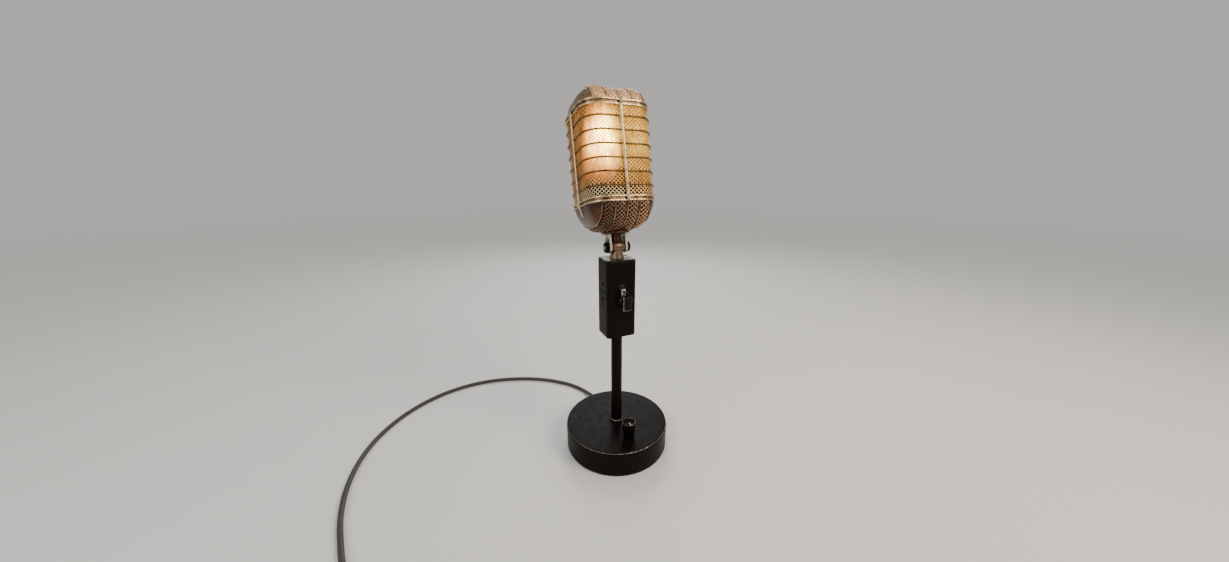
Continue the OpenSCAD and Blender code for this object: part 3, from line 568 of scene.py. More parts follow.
# Pressed wool felt: fuzzy and quite without shine
wool = uneven("wool", "#2e2c27", "#45423b", 3, 0.9, 0.25)
# Zinc plate: pale grey metal, evenly dull
zinc = uneven("zincPlate", "#8f8f8c", "#b0aea6", 6, 0.38, 0.02, 1.0)
# Turned brass: yellow metal with a fairly clear highlight
turnedBrass = uneven("turnedBrass", "#b08d4a", "#c9a866", 5, 0.28, 0.02, 1.0)
# Sand-cast iron: dark, rough and speckled
castIron = uneven("castIron", "#2c2b2a", "#3b3936", 4, 0.75, 0.2, 0.4, 0.8)
# Brown phenolic board: a low sheen over mottled fibres
phenolic = uneven("phenolic", "#3a1d12", "#552c1a", 5, 0.35)
# Moulded urea plastic: creamy, softly glossy
creamMoulding = uneven("creamMoulding", "#cfc6ae", "#ded7c3", 10, 0.45)
# Glazed porcelain: off-white with sharp highlights
porcelain = uneven("porcelain", "#e6e0d0", "#f2eee2", 20, 0.18, 0.01)
# Cast magnet steel: dark grey, coarse, hardly shiny
magnetSteel = uneven("magnetSteel", "#3f3a35", "#5a534c", 5, 0.45, 0.08, 0.9)
# Ground soft iron: mid grey with a smooth sheen
softIron = uneven("softIron", "#7d7c7a", "#96948f", 4, 0.35, 0.02, 1.0)
# Aluminium foil: bright, thin and almost mirror-like
foil = uneven("aluminiumFoil", "#d8d8d6", "#eeeeec", 3, 0.22, 0.02, 1.0)
# Varnished core plates: blue-black, slightly shiny
laminations = uneven("laminations", "#23262b", "#34383f", 3, 0.5, 0.06, 0.3)
# Vulcanised fibre: leathery brown and matt
fibre = uneven("vulcanisedFibre", "#6b4128", "#80502f", 3, 0.6)
# Braided cotton: dusty tan with a woven roughness
cotton = uneven("cottonBraid", "#8d8168", "#a89a7d", 2, 0.85, 0.2)
# Filled-in pointer line: warm white and matt against the knob
ivory = uneven("ivoryFiller", "#d8cfb8", "#e6dfcb", 3, 0.5)
print("finishes ready")


# Mains cord, coiled where the view ends, with its plug and strain relief

cordSet = {
    "diameter": 6.5, "length": 1.75,
    "exit": [0, 76, 11],
    # straight out of the base, down to the table and round to the coil
    "route": [[0, 76, 11], [0, 91, 11], [0, 106, 10], [0, 115, 8.2], [-1, 125, 5.4],
              [-4, 138, 3.3], [-14, 158, 3.3], [-32, 181, 3.3], [-60, 206, 3.3],
              [-95, 227, 3.3], [-135, 242, 3.3], [-175, 249, 3.3], [-215, 247, 3.3],
              [-255, 235, 3.3], [-292, 212, 3.3], [-322, 181, 3.3], [-345, 142, 3.3],
              [-358, 98, 3.3], [-362, 52, 3.3], [-358, 6, 3.3], [-348, -38, 3.3],
              [-336, -80, 3.3], [-327, -116, 3.3], [-322, -150, 3.6]],
    "coil": [-280, -155], "turns": 4.25, "low": 3.8, "high": 10.3,
    "plug": [-222, -193.75, 8.8],
}


# Two layers: inward on the table, then outward on top, a diameter closer or further a turn
def coilPath(c):
    turns = np.linspace(0, c["turns"], int(c["turns"] * 36) + 1)
    inward = 42 - c["diameter"] * turns
    outward = 38.75 - c["diameter"] * (c["turns"] - turns)
    climb = np.clip((turns - 1.95) / 0.4, 0, 1)
    climb = climb * climb * (3 - 2 * climb)
    r = inward + (outward - inward) * climb
    a = np.pi + 2 * np.pi * turns
    z = c["low"] + (c["high"] - c["low"]) * climb
    return np.stack([c["coil"][0] + r * np.cos(a), c["coil"][1] + r * np.sin(a), z], -1)


def cordPath(c):
    px, py, pz = c["plug"]
    tail = [[-268, py, 10.3], [-258, py, 10.2], [-244, py, 9.6], [px - 10, py, pz], [px, py, pz]]
    coil = coilPath(c)
    route = smoothPath(c["route"], 3)
    end = smoothPath(np.vstack([coil[-2:], tail]), 3)[2:]
    return np.vstack([route, coil[1:-1], end])


# A flat band round the coil's turns
def coilTie(c, angle):
    a = math.radians(angle)
    out = np.array([math.cos(a), math.sin(a), 0])
    along = np.array([-math.sin(a), math.cos(a), 0])
    line = Outline(10.4, 6.95, 4.5, 8)
    s = roundStations(line)
    xy, way = line.at(s)
    middle = np.array([c["coil"][0], c["coil"][1], 0]) + 35.5 * out + [0, 0, 7.25]
    section = roundedSection(5, 0.55, 0.25, 3)
    base = middle + xy[:, :1] * out + xy[:, 1:] * [0, 0, 1]
    lift = way[:, :1] * out + way[:, 1:] * [0, 0, 1]
    pts = base[:, None] + section[None, :, :1] * along + section[None, :, 1:] * lift[:, None]
    return rings(pts, loop=True)


# A moulded sleeve that thins towards the cord, with grooves cut round it
def strainRelief(path, start, end):
    dist = np.append(0, np.cumsum(np.linalg.norm(np.diff(path, axis=0), axis=1)))
    s = np.linspace(start, end, 61)
    line = np.stack([np.interp(s, dist, path[:, k]) for k in range(3)], -1)
    t = (s - start) / (end - start)
    r = 6.2 + (3.9 - 6.2) * t
    groove = 0.55 * (np.cos(2 * np.pi * s / 4.2) > 0.35) * (t > 0.12) * (t < 0.92)
    r = np.where(t < 0.07, 7.0, r - groove)
    ahead = np.gradient(line, axis=0)
    ahead /= np.linalg.norm(ahead, axis=1, keepdims=True)
    side = np.cross([0, 0, 1.0], ahead)
    a = np.linspace(0, 2 * np.pi, 28, endpoint=False)
    return sweepPath(line, side, np.cross(ahead, side),
                     np.stack([np.cos(a), np.sin(a)], -1), scale=r)


# Moulded plug: rounded rectangles stacked along X, waisted where it is gripped
def plugBody(c):
    # distance along X, half width, half height, corner radius
    stages = np.array([[-10, 3.9, 3.9, 3.8], [-6, 4.6, 4.4, 4.2], [-1, 6.2, 5.4, 5], [1.5, 8.6, 6.4, 5.4],
                       [4, 10.2, 7.0, 5.4], [8, 10.7, 7.1, 5.2], [13, 10.2, 6.6, 5.0],
                       [18, 10.6, 6.9, 5.0], [23, 11.8, 7.9, 5.0], [26, 12.4, 8.4, 5.0],
                       [32.6, 12.5, 8.5, 4.8], [33.7, 12.1, 8.1, 4.4], [34, 11.4, 7.4, 4.0]])
    fine = np.linspace(0, len(stages) - 1, 49)
    shapeAt = np.stack([np.interp(fine, np.arange(len(stages)), stages[:, k]) for k in range(4)], -1)
    grids = []
    for x, w, h, r in shapeAt:
        line = Outline(w, h, min(r, w - 0.01, h - 0.01), 7)
        keep = line.pts[1:-1]
        grids.append(np.stack([np.full(len(keep), x), keep[:, 0], keep[:, 1]], -1))
    return rings(np.array(grids) + c["plug"])


# A flat blade with rounded edges and a rounded tip
def plugBlade(c, side):
    section = roundedSection(1.5, 6.4, 0.35, 4)
    x = np.array([30, 49.5, 50.6, 51.2, 51.5])
    tall = np.array([1, 1, 0.9, 0.75, 0.55])
    pts = np.stack([np.repeat(x[:, None], len(section), 1),
                    np.repeat(section[None, :, 0], len(x), 0) + side * 6.35,
                    section[None, :, 1] * tall[:, None]], -1)
    return rings(pts + c["plug"])


cordLine = cordPath(cordSet)
cordPiece = makePiece("mainsCord", [tubeAlong(cordLine, cordSet["diameter"] / 2)], "stand",
                      "cord_rubber", pvcJacket, ("mains_cord", "cord_coil"))
reliefPiece = makePiece("cordRelief", [strainRelief(cordLine, 0.3, 30)], "stand", "cord_rubber",
                        pvcJacket, ("strain_relief",))
plugPiece = makePiece("plugMoulding", [plugBody(cordSet)], "stand", "cord_rubber", pvcJacket,
                      ("mains_plug",))
bladePiece = makePiece("plugBlades", [plugBlade(cordSet, s) for s in (-1, 1)], "stand",
                       "brass", turnedBrass, ("plug_pins",))
tiePiece = makePiece("cordTie", [coilTie(cordSet, 200)], "stand", "cord_rubber", wool)
print("cord done")


# Base, pole and dimmer knob

baseSet = {"radius": 76, "height": 37, "felt": 1.5, "edge": 2.5, "wall": 3.5}
poleSet = {"radius": 8, "inside": 6.5, "low": 26, "high": 192.4}
knobSet = {"centre": [0, -43, 38], "foot": 7.8, "top": 9.4, "tall": 22, "flutes": 36}


# Outside up the wall, round the edge, over the roof and back inside
def baseProfile(b):
    r, h, e, w = b["radius"], b["height"], b["edge"], b["wall"]
    rows, wear = [[r - 0.7, b["felt"]]], [0.75]
    for z in np.linspace(2.1, h - e, 14):
        rows.append([r, z])
        wear.append(0.62 if z < 4 else 0.12)
    # the rounded edge's wear passes 0.85 on two rows, drawing a painted highlight line as well as rubbed
    # paint
    for k, row in enumerate(arc(r - e, h - e, e, 0, 90, 9)[1:]):
        rows.append(row)
        wear.append([0.2, 0.3, 0.5, 0.95, 1.05, 0.7, 0.4, 0.3][k])
    for rr in [71, 68, 60, 45, 30, 20, 12, 8.15]:
        rows.append([rr, h])
        wear.append(0.35 if rr > 66 else 0.16)
    rows += [[8.15, h - w], [30, h - w], [r - w, h - w], [r - w, 12], [r - w, b["felt"]]]
    wear += [0] * 5
    return rows, wear


baseRows, baseWearAndSheen = baseProfile(baseSet)
makePiece("baseShell", [lathe(baseRows, sides=180, wear=baseWearAndSheen, loop=True)], "stand",
          "black_paint", blackEnamel, ("base_shell",), sharp=50)
feltRows = [[0.01, 0], [74.6, 0], [75.2, 0.4], [75.2, 1.2], [74.8, 1.5], [0.01, 1.5]]
makePiece("baseFelt", [lathe(feltRows, sides=120)], "stand", "felt", wool, ("base_felt",))

collarRows = [[8.06, 0], [10.0, 0], [10.2, 0.3], [10.2, 1.5], [10.0, 2.0], [9.5, 2.6], [9.2, 3.0],
              [8.06, 3.0]]
# the top ring's wear of 1.1 draws a pale crescent: rubbed paint and a painted highlight
collarWearAndSheen = [0, .5, .8, .5, .8, 1.1, .9, 0]
makePiece("poleCollar", [lathe(collarRows, (0, 0, baseSet["height"]), 64, collarWearAndSheen, loop=True)],
          "stand", "black_paint", blackEnamel, ("pole_collar",))

# Steel tube; its wall wavers by a few hundredths, as drawn tube's does, to break the highlight
p = poleSet
z = np.linspace(p["low"], p["high"], 60)
waver = p["radius"] + 0.04 * np.sin(z / 9) - 0.05
poleRows = np.vstack([np.stack([waver, z], -1), [[p["inside"], p["high"]], [p["inside"], p["low"]]]])
poleWear = np.r_[np.where((z < 41) | (z > 176), 0.5, 0.2), 0, 0]
makePiece("poleTube", [lathe(poleRows, sides=72, wear=poleWear, loop=True)], "stand",
          "black_paint", blackEnamel, ("pole_tube",), sharp=60)


# Knob: skirt with shallow flutes, a rim whose pale line is worn bakelite and a painted highlight, and a
# dished top
def knobProfile(k):
    t = np.linspace(0, 1, 12)
    side = np.stack([k["foot"] + (k["top"] - k["foot"]) * t, 0.6 + (k["tall"] - 1.8) * t,
                     np.clip(t * 6, 0, 1) * np.clip((1 - t) * 6, 0, 1)], -1)
    rim = arc(k["top"] - 0.7, k["tall"] - 0.9, 0.9, 10, 170, 9)
    dish = np.array([[7.4, 20.7], [6.0, 20.25], [4, 19.9], [2, 19.75], [0.02, 19.7]])
    rows = np.vstack([[[3.1, 0, 0], [k["foot"] - 0.6, 0, 0]], side,
                      np.c_[rim, np.zeros(9)], np.c_[dish, np.zeros(5)]])
    wear = np.r_[0, 0.3, np.full(12, 0.1), 0.2, 0.3, 0.6, 0.9, 1.0, 0.7, 0.3, 0.1, 0.1, np.zeros(5)]
    return rows, wear


flutes = lambda turn: 1 - 0.035 * np.clip(np.cos(knobSet["flutes"] * turn), 0, 1) ** 2
knobRows, knobWearAndSheen = knobProfile(knobSet)
makePiece("dimmerKnob", [lathe(knobRows, knobSet["centre"], 216, knobWearAndSheen, ripple=flutes)],
          "knob", "knob_bakelite", rubbedBakelite, ("dimmer_knob",), sharp=35)
pointerLine = Outline(0.5, 3, 0.45, 5)
pointerSteps = [[0, -0.8], [0, 0.1], [0.12, 0.28], [0.3, 0.32]]
makePiece("knobPointer", [stackOutline(pointerLine, pointerSteps, lambda p: p + [0, -47, 59.2])],
          "knob", "pointer_ivory", ivory, ("knob_pointer",))
print("base done")


# Connector housing: two cast shells, the worn top plate, screws and the latch

boxSet = {"halfW": 21.25, "halfD": 18, "radius": 4.5, "wall": 2, "floor": 3,
          "jack": (181, 246), "plug": (246.6, 287.1), "top": 289.6}
boxLine = Outline(boxSet["halfW"], boxSet["halfD"], boxSet["radius"], 14)


# Rings of a shell with softened edges: out over the wall, and back down inside
def shellSteps(low, high, wall, floor=0):
    zs = np.linspace(low + 1.2, high - 1.2, 10)
    steps = [[0.75, low], [0.3, low + 0.15], [0.06, low + 0.5]] + [[0, z] for z in zs]
    steps += [[0.06, high - 0.45], [0.28, high - 0.12], [0.6, high], [wall, high]]
    wear = [0.8, 0.85, 0.7] + [0.1] * 10 + [0.7, 0.9, 0.8, 0.3]
    if floor:
        steps += [[wall, low + floor], [4.2, low + floor]]
        wear += [0, 0]
    else:
        steps += [[wall, low]]
        wear += [0.3]
    return steps, wear


steps, wear = shellSteps(*boxSet["jack"], boxSet["wall"], boxSet["floor"])
makePiece("jackShell", [stackOutline(boxLine, steps, wear=wear)], "stand", "black_paint",
          blackEnamel, ("jack_shell",), sharp=60)
steps, wear = shellSteps(*boxSet["plug"], boxSet["wall"])
makePiece("plugShell", [stackOutline(boxLine, steps, wear=wear, loop=True)], "stand", "black_paint",
          blackEnamel, ("plug_shell",), sharp=60)
steps = np.array([[0.4, -2.5], [0.05, -2.3], [0, -1.9], [0, -1], [0.12, -0.5], [0.45, -0.15], [0.95, 0],
                  [2, 0], [4.2, 0]]) + [0, boxSet["top"]]
wear = [.3, .4, .2, .3, .55, .7, .75, .72, .78]
makePiece("plugTopPlate", [stackOutline(boxLine, steps, wear=wear)], "stand", "worn_black",
          rubbedEnamel, ("plug_top_plate",), sharp=60)


# Screw with a slot: a round head on the X axis, side is the way it faces
def slottedScrew(at, side, radius, tall, slotTurn, place=lambda p: p):
    rows = np.array([[radius * 0.98, 0], [radius, tall * 0.3], [radius * 0.93, tall * 0.62],
                     [radius * 0.72, tall * 0.88], [radius * 0.4, tall], [0.02, tall]])
    turn = np.linspace(0, 2 * np.pi, 32, endpoint=False)
    px = rows[:, :1] * np.cos(turn)
    py = rows[:, :1] * np.sin(turn)
    across = px * math.cos(slotTurn) + py * math.sin(slotTurn)
    slot = np.clip(1.6 - np.abs(across) / (0.17 * radius), 0, 1) * 0.42 * tall
    h = rows[:, 1:] - np.where(rows[:, 1:] > tall * 0.5, slot, 0)
    pts = np.stack([side * h, px, py], -1) + np.asarray(at, float)
    return rings(place(pts), np.repeat([[.2], [.6], [.7], [.5], [.4], [.4]], 32, 1))


screws = [slottedScrew((sx * 21.2, 0, zz), sx, 2.3, 0.95, 0.7 + sx)
          for sx in (-1, 1) for zz in (234, 255.6)]
makePiece("shellScrews", screws, "stand", "black_paint", blackEnamel, ("shell_screws",))


# Flat shapes cut from plate: a drawn outline given a thickness and soft edges

# Corners of a polygon rounded off by a short curve each
def roundCorners(points, radius, steps=5):
    p = np.asarray(points, float)
    before, after = np.roll(p, 1, 0) - p, np.roll(p, -1, 0) - p
    lengthB = np.linalg.norm(before, axis=1, keepdims=True)
    lengthA = np.linalg.norm(after, axis=1, keepdims=True)
    wanted = np.broadcast_to(np.reshape(radius, (-1, 1)), (len(p), 1))
    cut = np.minimum(np.minimum(lengthB, lengthA) * 0.45, wanted)
    a, b = p + before / lengthB * cut, p + after / lengthA * cut
    t = np.linspace(0, 1, steps)[None, :, None]
    return ((1 - t) ** 2 * a[:, None] + 2 * t * (1 - t) * p[:, None] + t ** 2 * b[:, None]).reshape(-1, 2)


# Outward normals of a closed outline
def outlineNormals(points):
    ahead = np.roll(points, -1, 0) - np.roll(points, 1, 0)
    way = np.stack([ahead[:, 1], -ahead[:, 0]], -1)
    way /= np.maximum(np.linalg.norm(way, axis=1, keepdims=True), 1e-9)
    x, y = points.T
    area = np.dot(x, np.roll(y, -1)) - np.dot(y, np.roll(x, -1))
    return way if area > 0 else -way


# Steps are (inset, distance through the plate); place turns (across, y, z) into the frame
def plate(points, steps, place=lambda p: p, wear=None):
    way = outlineNormals(points)
    steps = np.asarray(steps, float)
    yz = points[None] - steps[:, None, :1] * way[None]
    across = np.repeat(steps[:, None, 1:], len(points), 1)
    w = None
    if wear is not None:
        bend = 1 - (np.roll(way, 2, 0) * np.roll(way, -2, 0)).sum(1)
        w = np.maximum(np.asarray(wear, float)[:, None], np.clip(bend * 1.3, 0, 1)[None])
    return rings(place(np.concatenate([across, yz], -1)), w)


# Edge steps through a plate from one side to the other, softened by so much
def softEdges(start, end, soft):
    return [[soft * 2.2, start], [soft, start + 0.02], [soft * 0.3, start + soft * 0.3], [0, start + soft],
            [0, end - soft], [soft * 0.3, end - soft * 0.3], [soft, end - 0.02], [soft * 2.2, end]]


edgeWear = [0.35, 0.8, 1, 0.5, 0.5, 1, 0.8, 0.35]


# Latch: thumb lever, claw, keeper, bracket, pin and spring

latchSet = {"centre": [2, -23.5, 237]}   # the middle of its pin
onLatch = lambda p: p + latchSet["centre"]

# Thumb block: square in front, its top sloped back to the claw
leverPoints = roundCorners([[-8, -14], [2.3, -14], [2.3, -0.5], [1.5, 0.5], [1.5, 6], [-6.6, 6], [-8, 4.6]],
                           [1.6, 0.8, 0.5, 0.4, 0.6, 1.2, 1.2])
leverSteps = [[1.7, -6], [0.7, -5.85], [0.2, -5.5], [0, -5], [0, 5], [0.2, 5.5], [0.7, 5.85], [1.7, 6]]
makePiece("latchLever", [plate(leverPoints, leverSteps, onLatch, [.5, .9, 1, .6, .5, .7, .6, .35])],
          "latch", "worn_black", rubbedEnamel, ("latch_lever",), sharp=50)
clawPoints = roundCorners([[-1.6, 6], [0.2, 6], [0.2, 12.9], [4.3, 12.9], [4.3, 14.9], [2.6, 16.0],
                           [-0.2, 16.0], [-1.6, 14.6]], [0.3, 0.3, 0.7, 0.5, 0.7, 1.4, 1.5, 1.0])
clawPoints = np.minimum(clawPoints, [4.3, 15.1])
clawSteps = [[0.75, -6], [0.3, -5.85], [0, -5.3], [0, -0.7], [0.3, -0.15], [0.75, 0]]
makePiece("latchClaw", [plate(clawPoints, clawSteps, onLatch, [.6, 1, .8, .8, 1, .6])], "latch", "nickel",
          darkNickel, ("latch_hook",), sharp=50)
keeperPoints = roundCorners([[-19, 247.6], [-18, 247.6], [-18, 256.6], [-19, 256.6], [-19, 249.6],
                             [-21.2, 249.6], [-21.2, 247.6]], [0.1, 0.1, 0.1, 0.5, 0.5, 0.6, 0.6])
makePiece("latchKeeper", [plate(keeperPoints, softEdges(-5, 3, 0.25), wear=edgeWear)], "stand", "nickel",
          sootyNickel, ("latch_keeper",), sharp=50)
earPoints = roundCorners([[-4, -2.6], [-2.6, -4], [5.5, -4], [5.5, 4], [-2.6, 4], [-4, 2.6]],
                         [1.5, 1.5, 0.2, 0.2, 1.5, 1.5])
bracketBits = [plate(earPoints, softEdges(x, x + 1.5, 0.25), onLatch) for x in (-9.2, 7.7)]
tabPoints = roundCorners([[4.3, -6], [5.5, -6], [5.5, 6], [4.3, 6]], 0.3)
bracketBits.append(plate(tabPoints, softEdges(-9.2, 9.2, 0.25), onLatch))
makePiece("latchBracket", bracketBits, "stand", "nickel", sootyNickel, ("latch_bracket",), sharp=50)

# Round things on an axis along X: rows are (radius, distance along)
alongX = lambda p: p[..., [2, 0, 1]]
pinRows = [[0.02, -9.9], [0.8, -9.85], [1.5, -9.5], [1.6, -9.25], [1.2, -9.2], [1.2, 9.2], [1.6, 9.25],
           [1.5, 9.5], [0.8, 9.85], [0.02, 9.9]]


# Turns rows round X, through a centre, in the head's axes if it is on the head
def latheX(rows, centre=(0, 0, 0), sides=48, onHead=False, wear=None, loop=False, ripple=None):
    v, f, w = lathe(rows, (0, 0, 0), sides, wear, loop, ripple)
    v = alongX(v) + np.asarray(centre, float)
    return shape(fromHead(v) if onHead else v, f, w)


makePiece("latchPin", [latheX(pinRows, latchSet["centre"], 24)], "stand", "nickel",
          sootyNickel, ("latch_pin",))
t = np.linspace(0, 2 * np.pi * 2.4, 80)
springLine = np.stack([-7.3 + 0.28 * t / np.pi * 0.9, 2.1 * np.cos(t), 2.1 * np.sin(t)], -1)
springLine = springLine + latchSet["centre"]
springOut = np.stack([0 * t, np.cos(t), np.sin(t)], -1)
a = np.linspace(0, 2 * np.pi, 8, endpoint=False)
springWire = 0.26 * np.stack([np.cos(a), np.sin(a)], -1)
makePiece("latchSpring", [sweepPath(springLine, [1, 0, 0], springOut, springWire)],
          "stand", "spring_steel", zinc, ("latch_spring",))
print("housing done")


# Neck: post with its eye, thumb nuts, straps and the boss under the head

neckRows = [[0.02, 289.6], [9.6, 289.6], [10, 289.9], [10, 290.9], [9.75, 291.6], [9.4, 292.4], [8.9, 294],
            [8.4, 296], [7.9, 298], [7.5, 300], [7.2, 302], [6.9, 304], [0.02, 304.4]]
eyeRows = [[3.05, -7], [6.6, -7], [7.3, -6.8], [7.6, -6.3], [7.6, 6.3], [7.3, 6.8], [6.6, 7], [3.05, 7]]
makePiece("neckPost", [lathe(neckRows, sides=64), latheX(eyeRows, pivot, 64, loop=True)],
          "stand", "bronze", bronze, ("neck_post",))

# Straps: round below the bolt and straight above it
strapSet = {"inner": 9.8, "outer": 13, "radius": 8, "top": 17}
r = strapSet["radius"]
half = np.radians(np.linspace(180, 360, 40))
rise = np.linspace(1, strapSet["top"], 8)
strapPoints = np.vstack([np.stack([r * np.cos(half), r * np.sin(half)], -1),
                         np.stack([np.full(8, float(r)), rise], -1),
                         np.stack([np.full(8, -float(r)), rise[::-1]], -1)])
# rims worn past 0.85 draw pale edges: rubbed plate and a painted highlight
rimWearAndSheen = [0.2, 0.8, 1.1, 1.15, 1.15, 1.1, 0.8, 0.2]
straps = []
for side in (-1, 1):
    ends = sorted([side * strapSet["inner"], side * strapSet["outer"]])
    straps.append(plate(strapPoints, softEdges(ends[0], ends[1], 0.45), fromHead, rimWearAndSheen))
makePiece("forkStraps", straps, "head", "nickel", darkNickel, ("fork_straps",), sharp=45)

nutSet = {"radius": 7, "teeth": 26}
knurl = lambda turn: 1 - 0.1 * np.clip(np.cos(nutSet["teeth"] * turn) * 1.6 + 0.2, 0, 1)
for side, name in ((-1, "Left"), (1, "Right")):
    r = nutSet["radius"]
    rows = np.array([[3.06, 13.3, 0], [6.0, 13.3, 0], [6.5, 13.5, 0], [r - 0.1, 13.9, 1], [r, 14.2, 1],
                     [r, 16.6, 1], [r - 0.15, 17.0, 1], [6.3, 17.4, 0], [5.6, 17.8, 0], [4.9, 17.75, 0],
                     [4.4, 17.3, 0], [3.06, 17.2, 0]]) * [1, side, 1]
    wear = [0, 0, .4, .8, .5, .5, .9, .7, .9, .6, .2, .2]
    makePiece("tiltNut" + name, [latheX(rows, sides=208, onHead=True, wear=wear, loop=True, ripple=knurl)],
              "nut_" + name.lower(), "knob_bakelite", rubbedBakelite, ("tilt_nut_" + name.lower(),), sharp=35)

boltRows = [[0.02, -18.8], [2.4, -18.75], [2.95, -18.2], [2.95, 18.2], [2.4, 18.75], [0.02, 18.8]]
makePiece("pivotBolt", [latheX(boltRows, sides=32, onHead=True)], "head", "zinc_steel", zinc, ("pivot_bolt",))

bossRows = [[0.02, 8.1], [6.6, 8.1], [7, 8.5], [7, 16.6], [7.6, 17], [17.3, 17], [18.4, 17.35], [18.9, 18.1],
            [19, 19], [18.9, 19.7], [18.3, 20.15], [16.6, 20.3], [15.95, 20.8], [15.8, 21.6], [15.8, 29],
            [0.02, 29]]
v, f, w = lathe(bossRows, sides=96)
# the spigot's foot is hollowed to clear the post's eye
hollow = np.maximum(7.0, np.sqrt(np.clip(8.05 ** 2 - v[:, 1] ** 2, 0, None)))
v[:, 2] = np.where(v[:, 2] < 8.6, hollow + (v[:, 2] - 8.1), v[:, 2])
makePiece("forkBoss", [(fromHead(v), f, w)], "head", "bronze", shadedBronze, ("fork_boss",))
print("neck done")


# Head: hoops, strips and rods of the cage

headSet = {"halfW": 45.5, "halfD": 46, "corner": 23.5, "low": 57, "high": 169.5, "bands": 7, "trim": 1.8,
           "stripTall": 2.2, "stripOff": 2.5, "ribPitch": 16.5, "rodWide": 4}
h = headSet
cageLine = Outline(h["halfW"], h["halfD"], h["corner"], 18)

# Half-round wire pressed against the mesh
hoopSection = domedSection(1.75, 2.1, 7) + [0.02, 0]
hoopSection = np.vstack([hoopSection, [[-0.25, 0.7], [-0.25, -0.7]]])
bandPitch = (h["high"] - h["low"]) / h["bands"]
hoops = [sweepOutline(cageLine, hoopSection + [0, h["low"] + k * bandPitch], fromHead)
         for k in range(1, h["bands"])]
makePiece("cageHoops", hoops, "head", "nickel", shadedHoopNickel, ("cage_hoops",))

# Flat strips with rounded edges, in pairs where the cage meets a dome
stripSection = roundedSection(h["trim"], h["stripTall"], 0.55, 4) + [h["trim"] / 2, 0]
channelSection = roundedSection(0.9, 3.4, 0.2, 2) + [-0.1, 0]
for edge, name in ((h["low"], "lower"), (h["high"], "upper")):
    strips = [sweepOutline(cageLine, stripSection + [0, edge + off], fromHead)
              for off in (-h["stripOff"], h["stripOff"])]
    makePiece(name + "Rims", strips, "head", "nickel", brightNickel, (name + "_rims",))
    makePiece(name + "Channel", [sweepOutline(cageLine, channelSection + [0, edge], fromHead)],
              "head", "nickel", shadedHoopNickel)

# Rods: half-round bar over the hoops, thinned at the ends; the side ones follow the cheeks
bow = np.linspace(0, np.pi, 9)
rodSection = np.vstack([np.stack([h["rodWide"] / 2 * np.cos(bow), 0.15 + 1.6 * np.sin(bow)], -1),
                        [[-1.9, -0.05], [1.9, -0.05]]])
foot = h["halfW"] + h["trim"]
straight = np.linspace(173.3, 53.4, 90)
frontRun = np.stack([0 * straight, np.full(90, h["halfD"] + h["trim"]), straight], -1)
tail = [[47.25, 53.4], [46.9, 52.3], [46.0, 51.2], [45.25, 49.8], [44.85, 47.6], [44.35, 45.4], [43.45, 43.2],
        [42.75, 41.2]]
sideRun = np.vstack([np.stack([np.full(90, foot), 0 * straight, straight], -1),
                     np.array([[u, 0, w] for u, w in tail[1:]])])
ends = np.ones(90)
ends[:3] = [0.55, 0.85, 0.97]
tailEnds = np.r_[ends, np.linspace(1, 0.9, 6), 0.6]
ends[-3:] = [0.97, 0.85, 0.55]
rods = []
for sign in (-1, 1):
    v, f, w = sweepPath(frontRun * [1, sign, 1], [1, 0, 0], [0, sign, 0], rodSection, ends)
    rods.append(shape(fromHead(v), f, w))
    ahead = np.gradient(sideRun, axis=0)
    lift = np.stack([-ahead[:, 2], 0 * ahead[:, 0], ahead[:, 0]], -1)
    lift /= np.linalg.norm(lift, axis=1, keepdims=True)
    v, f, w = sweepPath(sideRun * [sign, 1, 1], [0, 1, 0], lift * [sign, 0, 1], rodSection, tailEnds)
    rods.append(shape(fromHead(v), f, w))
makePiece("cageRods", rods, "head", "nickel", brightNickel, ("cage_rods",))

acrossDepth = lambda p: fromHead(p[..., [1, 0, 2]])
rodScrews = []
for z in (h["low"], h["high"]):
    for sign in (-1, 1):
        for half, turned, place in ((h["halfW"], 0.5, fromHead), (h["halfD"], 1.9, acrossDepth)):
            at = (sign * (half + 3.5), 0, z)
            rodScrews.append(slottedScrew(at, sign, 2.6, 1.5, turned + z, place))
makePiece("rodScrews", rodScrews, "head", "nickel", brightNickel, ("rod_screws",))


# Domes: height is tall * sqrt(1 - k^m), k the superellipse distance out from the middle

domeSet = {"power": 4.2, "low": {"edge": 57, "way": -1, "tall": 37, "round": (3, 2.2)},
           "top": {"edge": 169.5, "way": 1, "tall": 27, "round": (6, 2.3)}}


def domeHeight(u, v, halfU, halfV, dome, grow=0.0):
    n = domeSet["power"]
    k = (np.abs(u / halfU) ** n + np.abs(v / halfV) ** n) ** (1 / n)
    side = np.abs(u) / np.maximum(np.hypot(u, v), 1e-6)
    m = dome["round"][1] + (dome["round"][0] - dome["round"][1]) * side ** 2
    return (dome["tall"] + grow) * np.sqrt(np.clip(1 - np.clip(k, 0, 1) ** m, 0, None))


def domeReach(u, halfU, halfV):
    n = domeSet["power"]
    return halfV * (1 - np.clip(np.abs(u) / halfU, 0, 1) ** n) ** (1 / n)


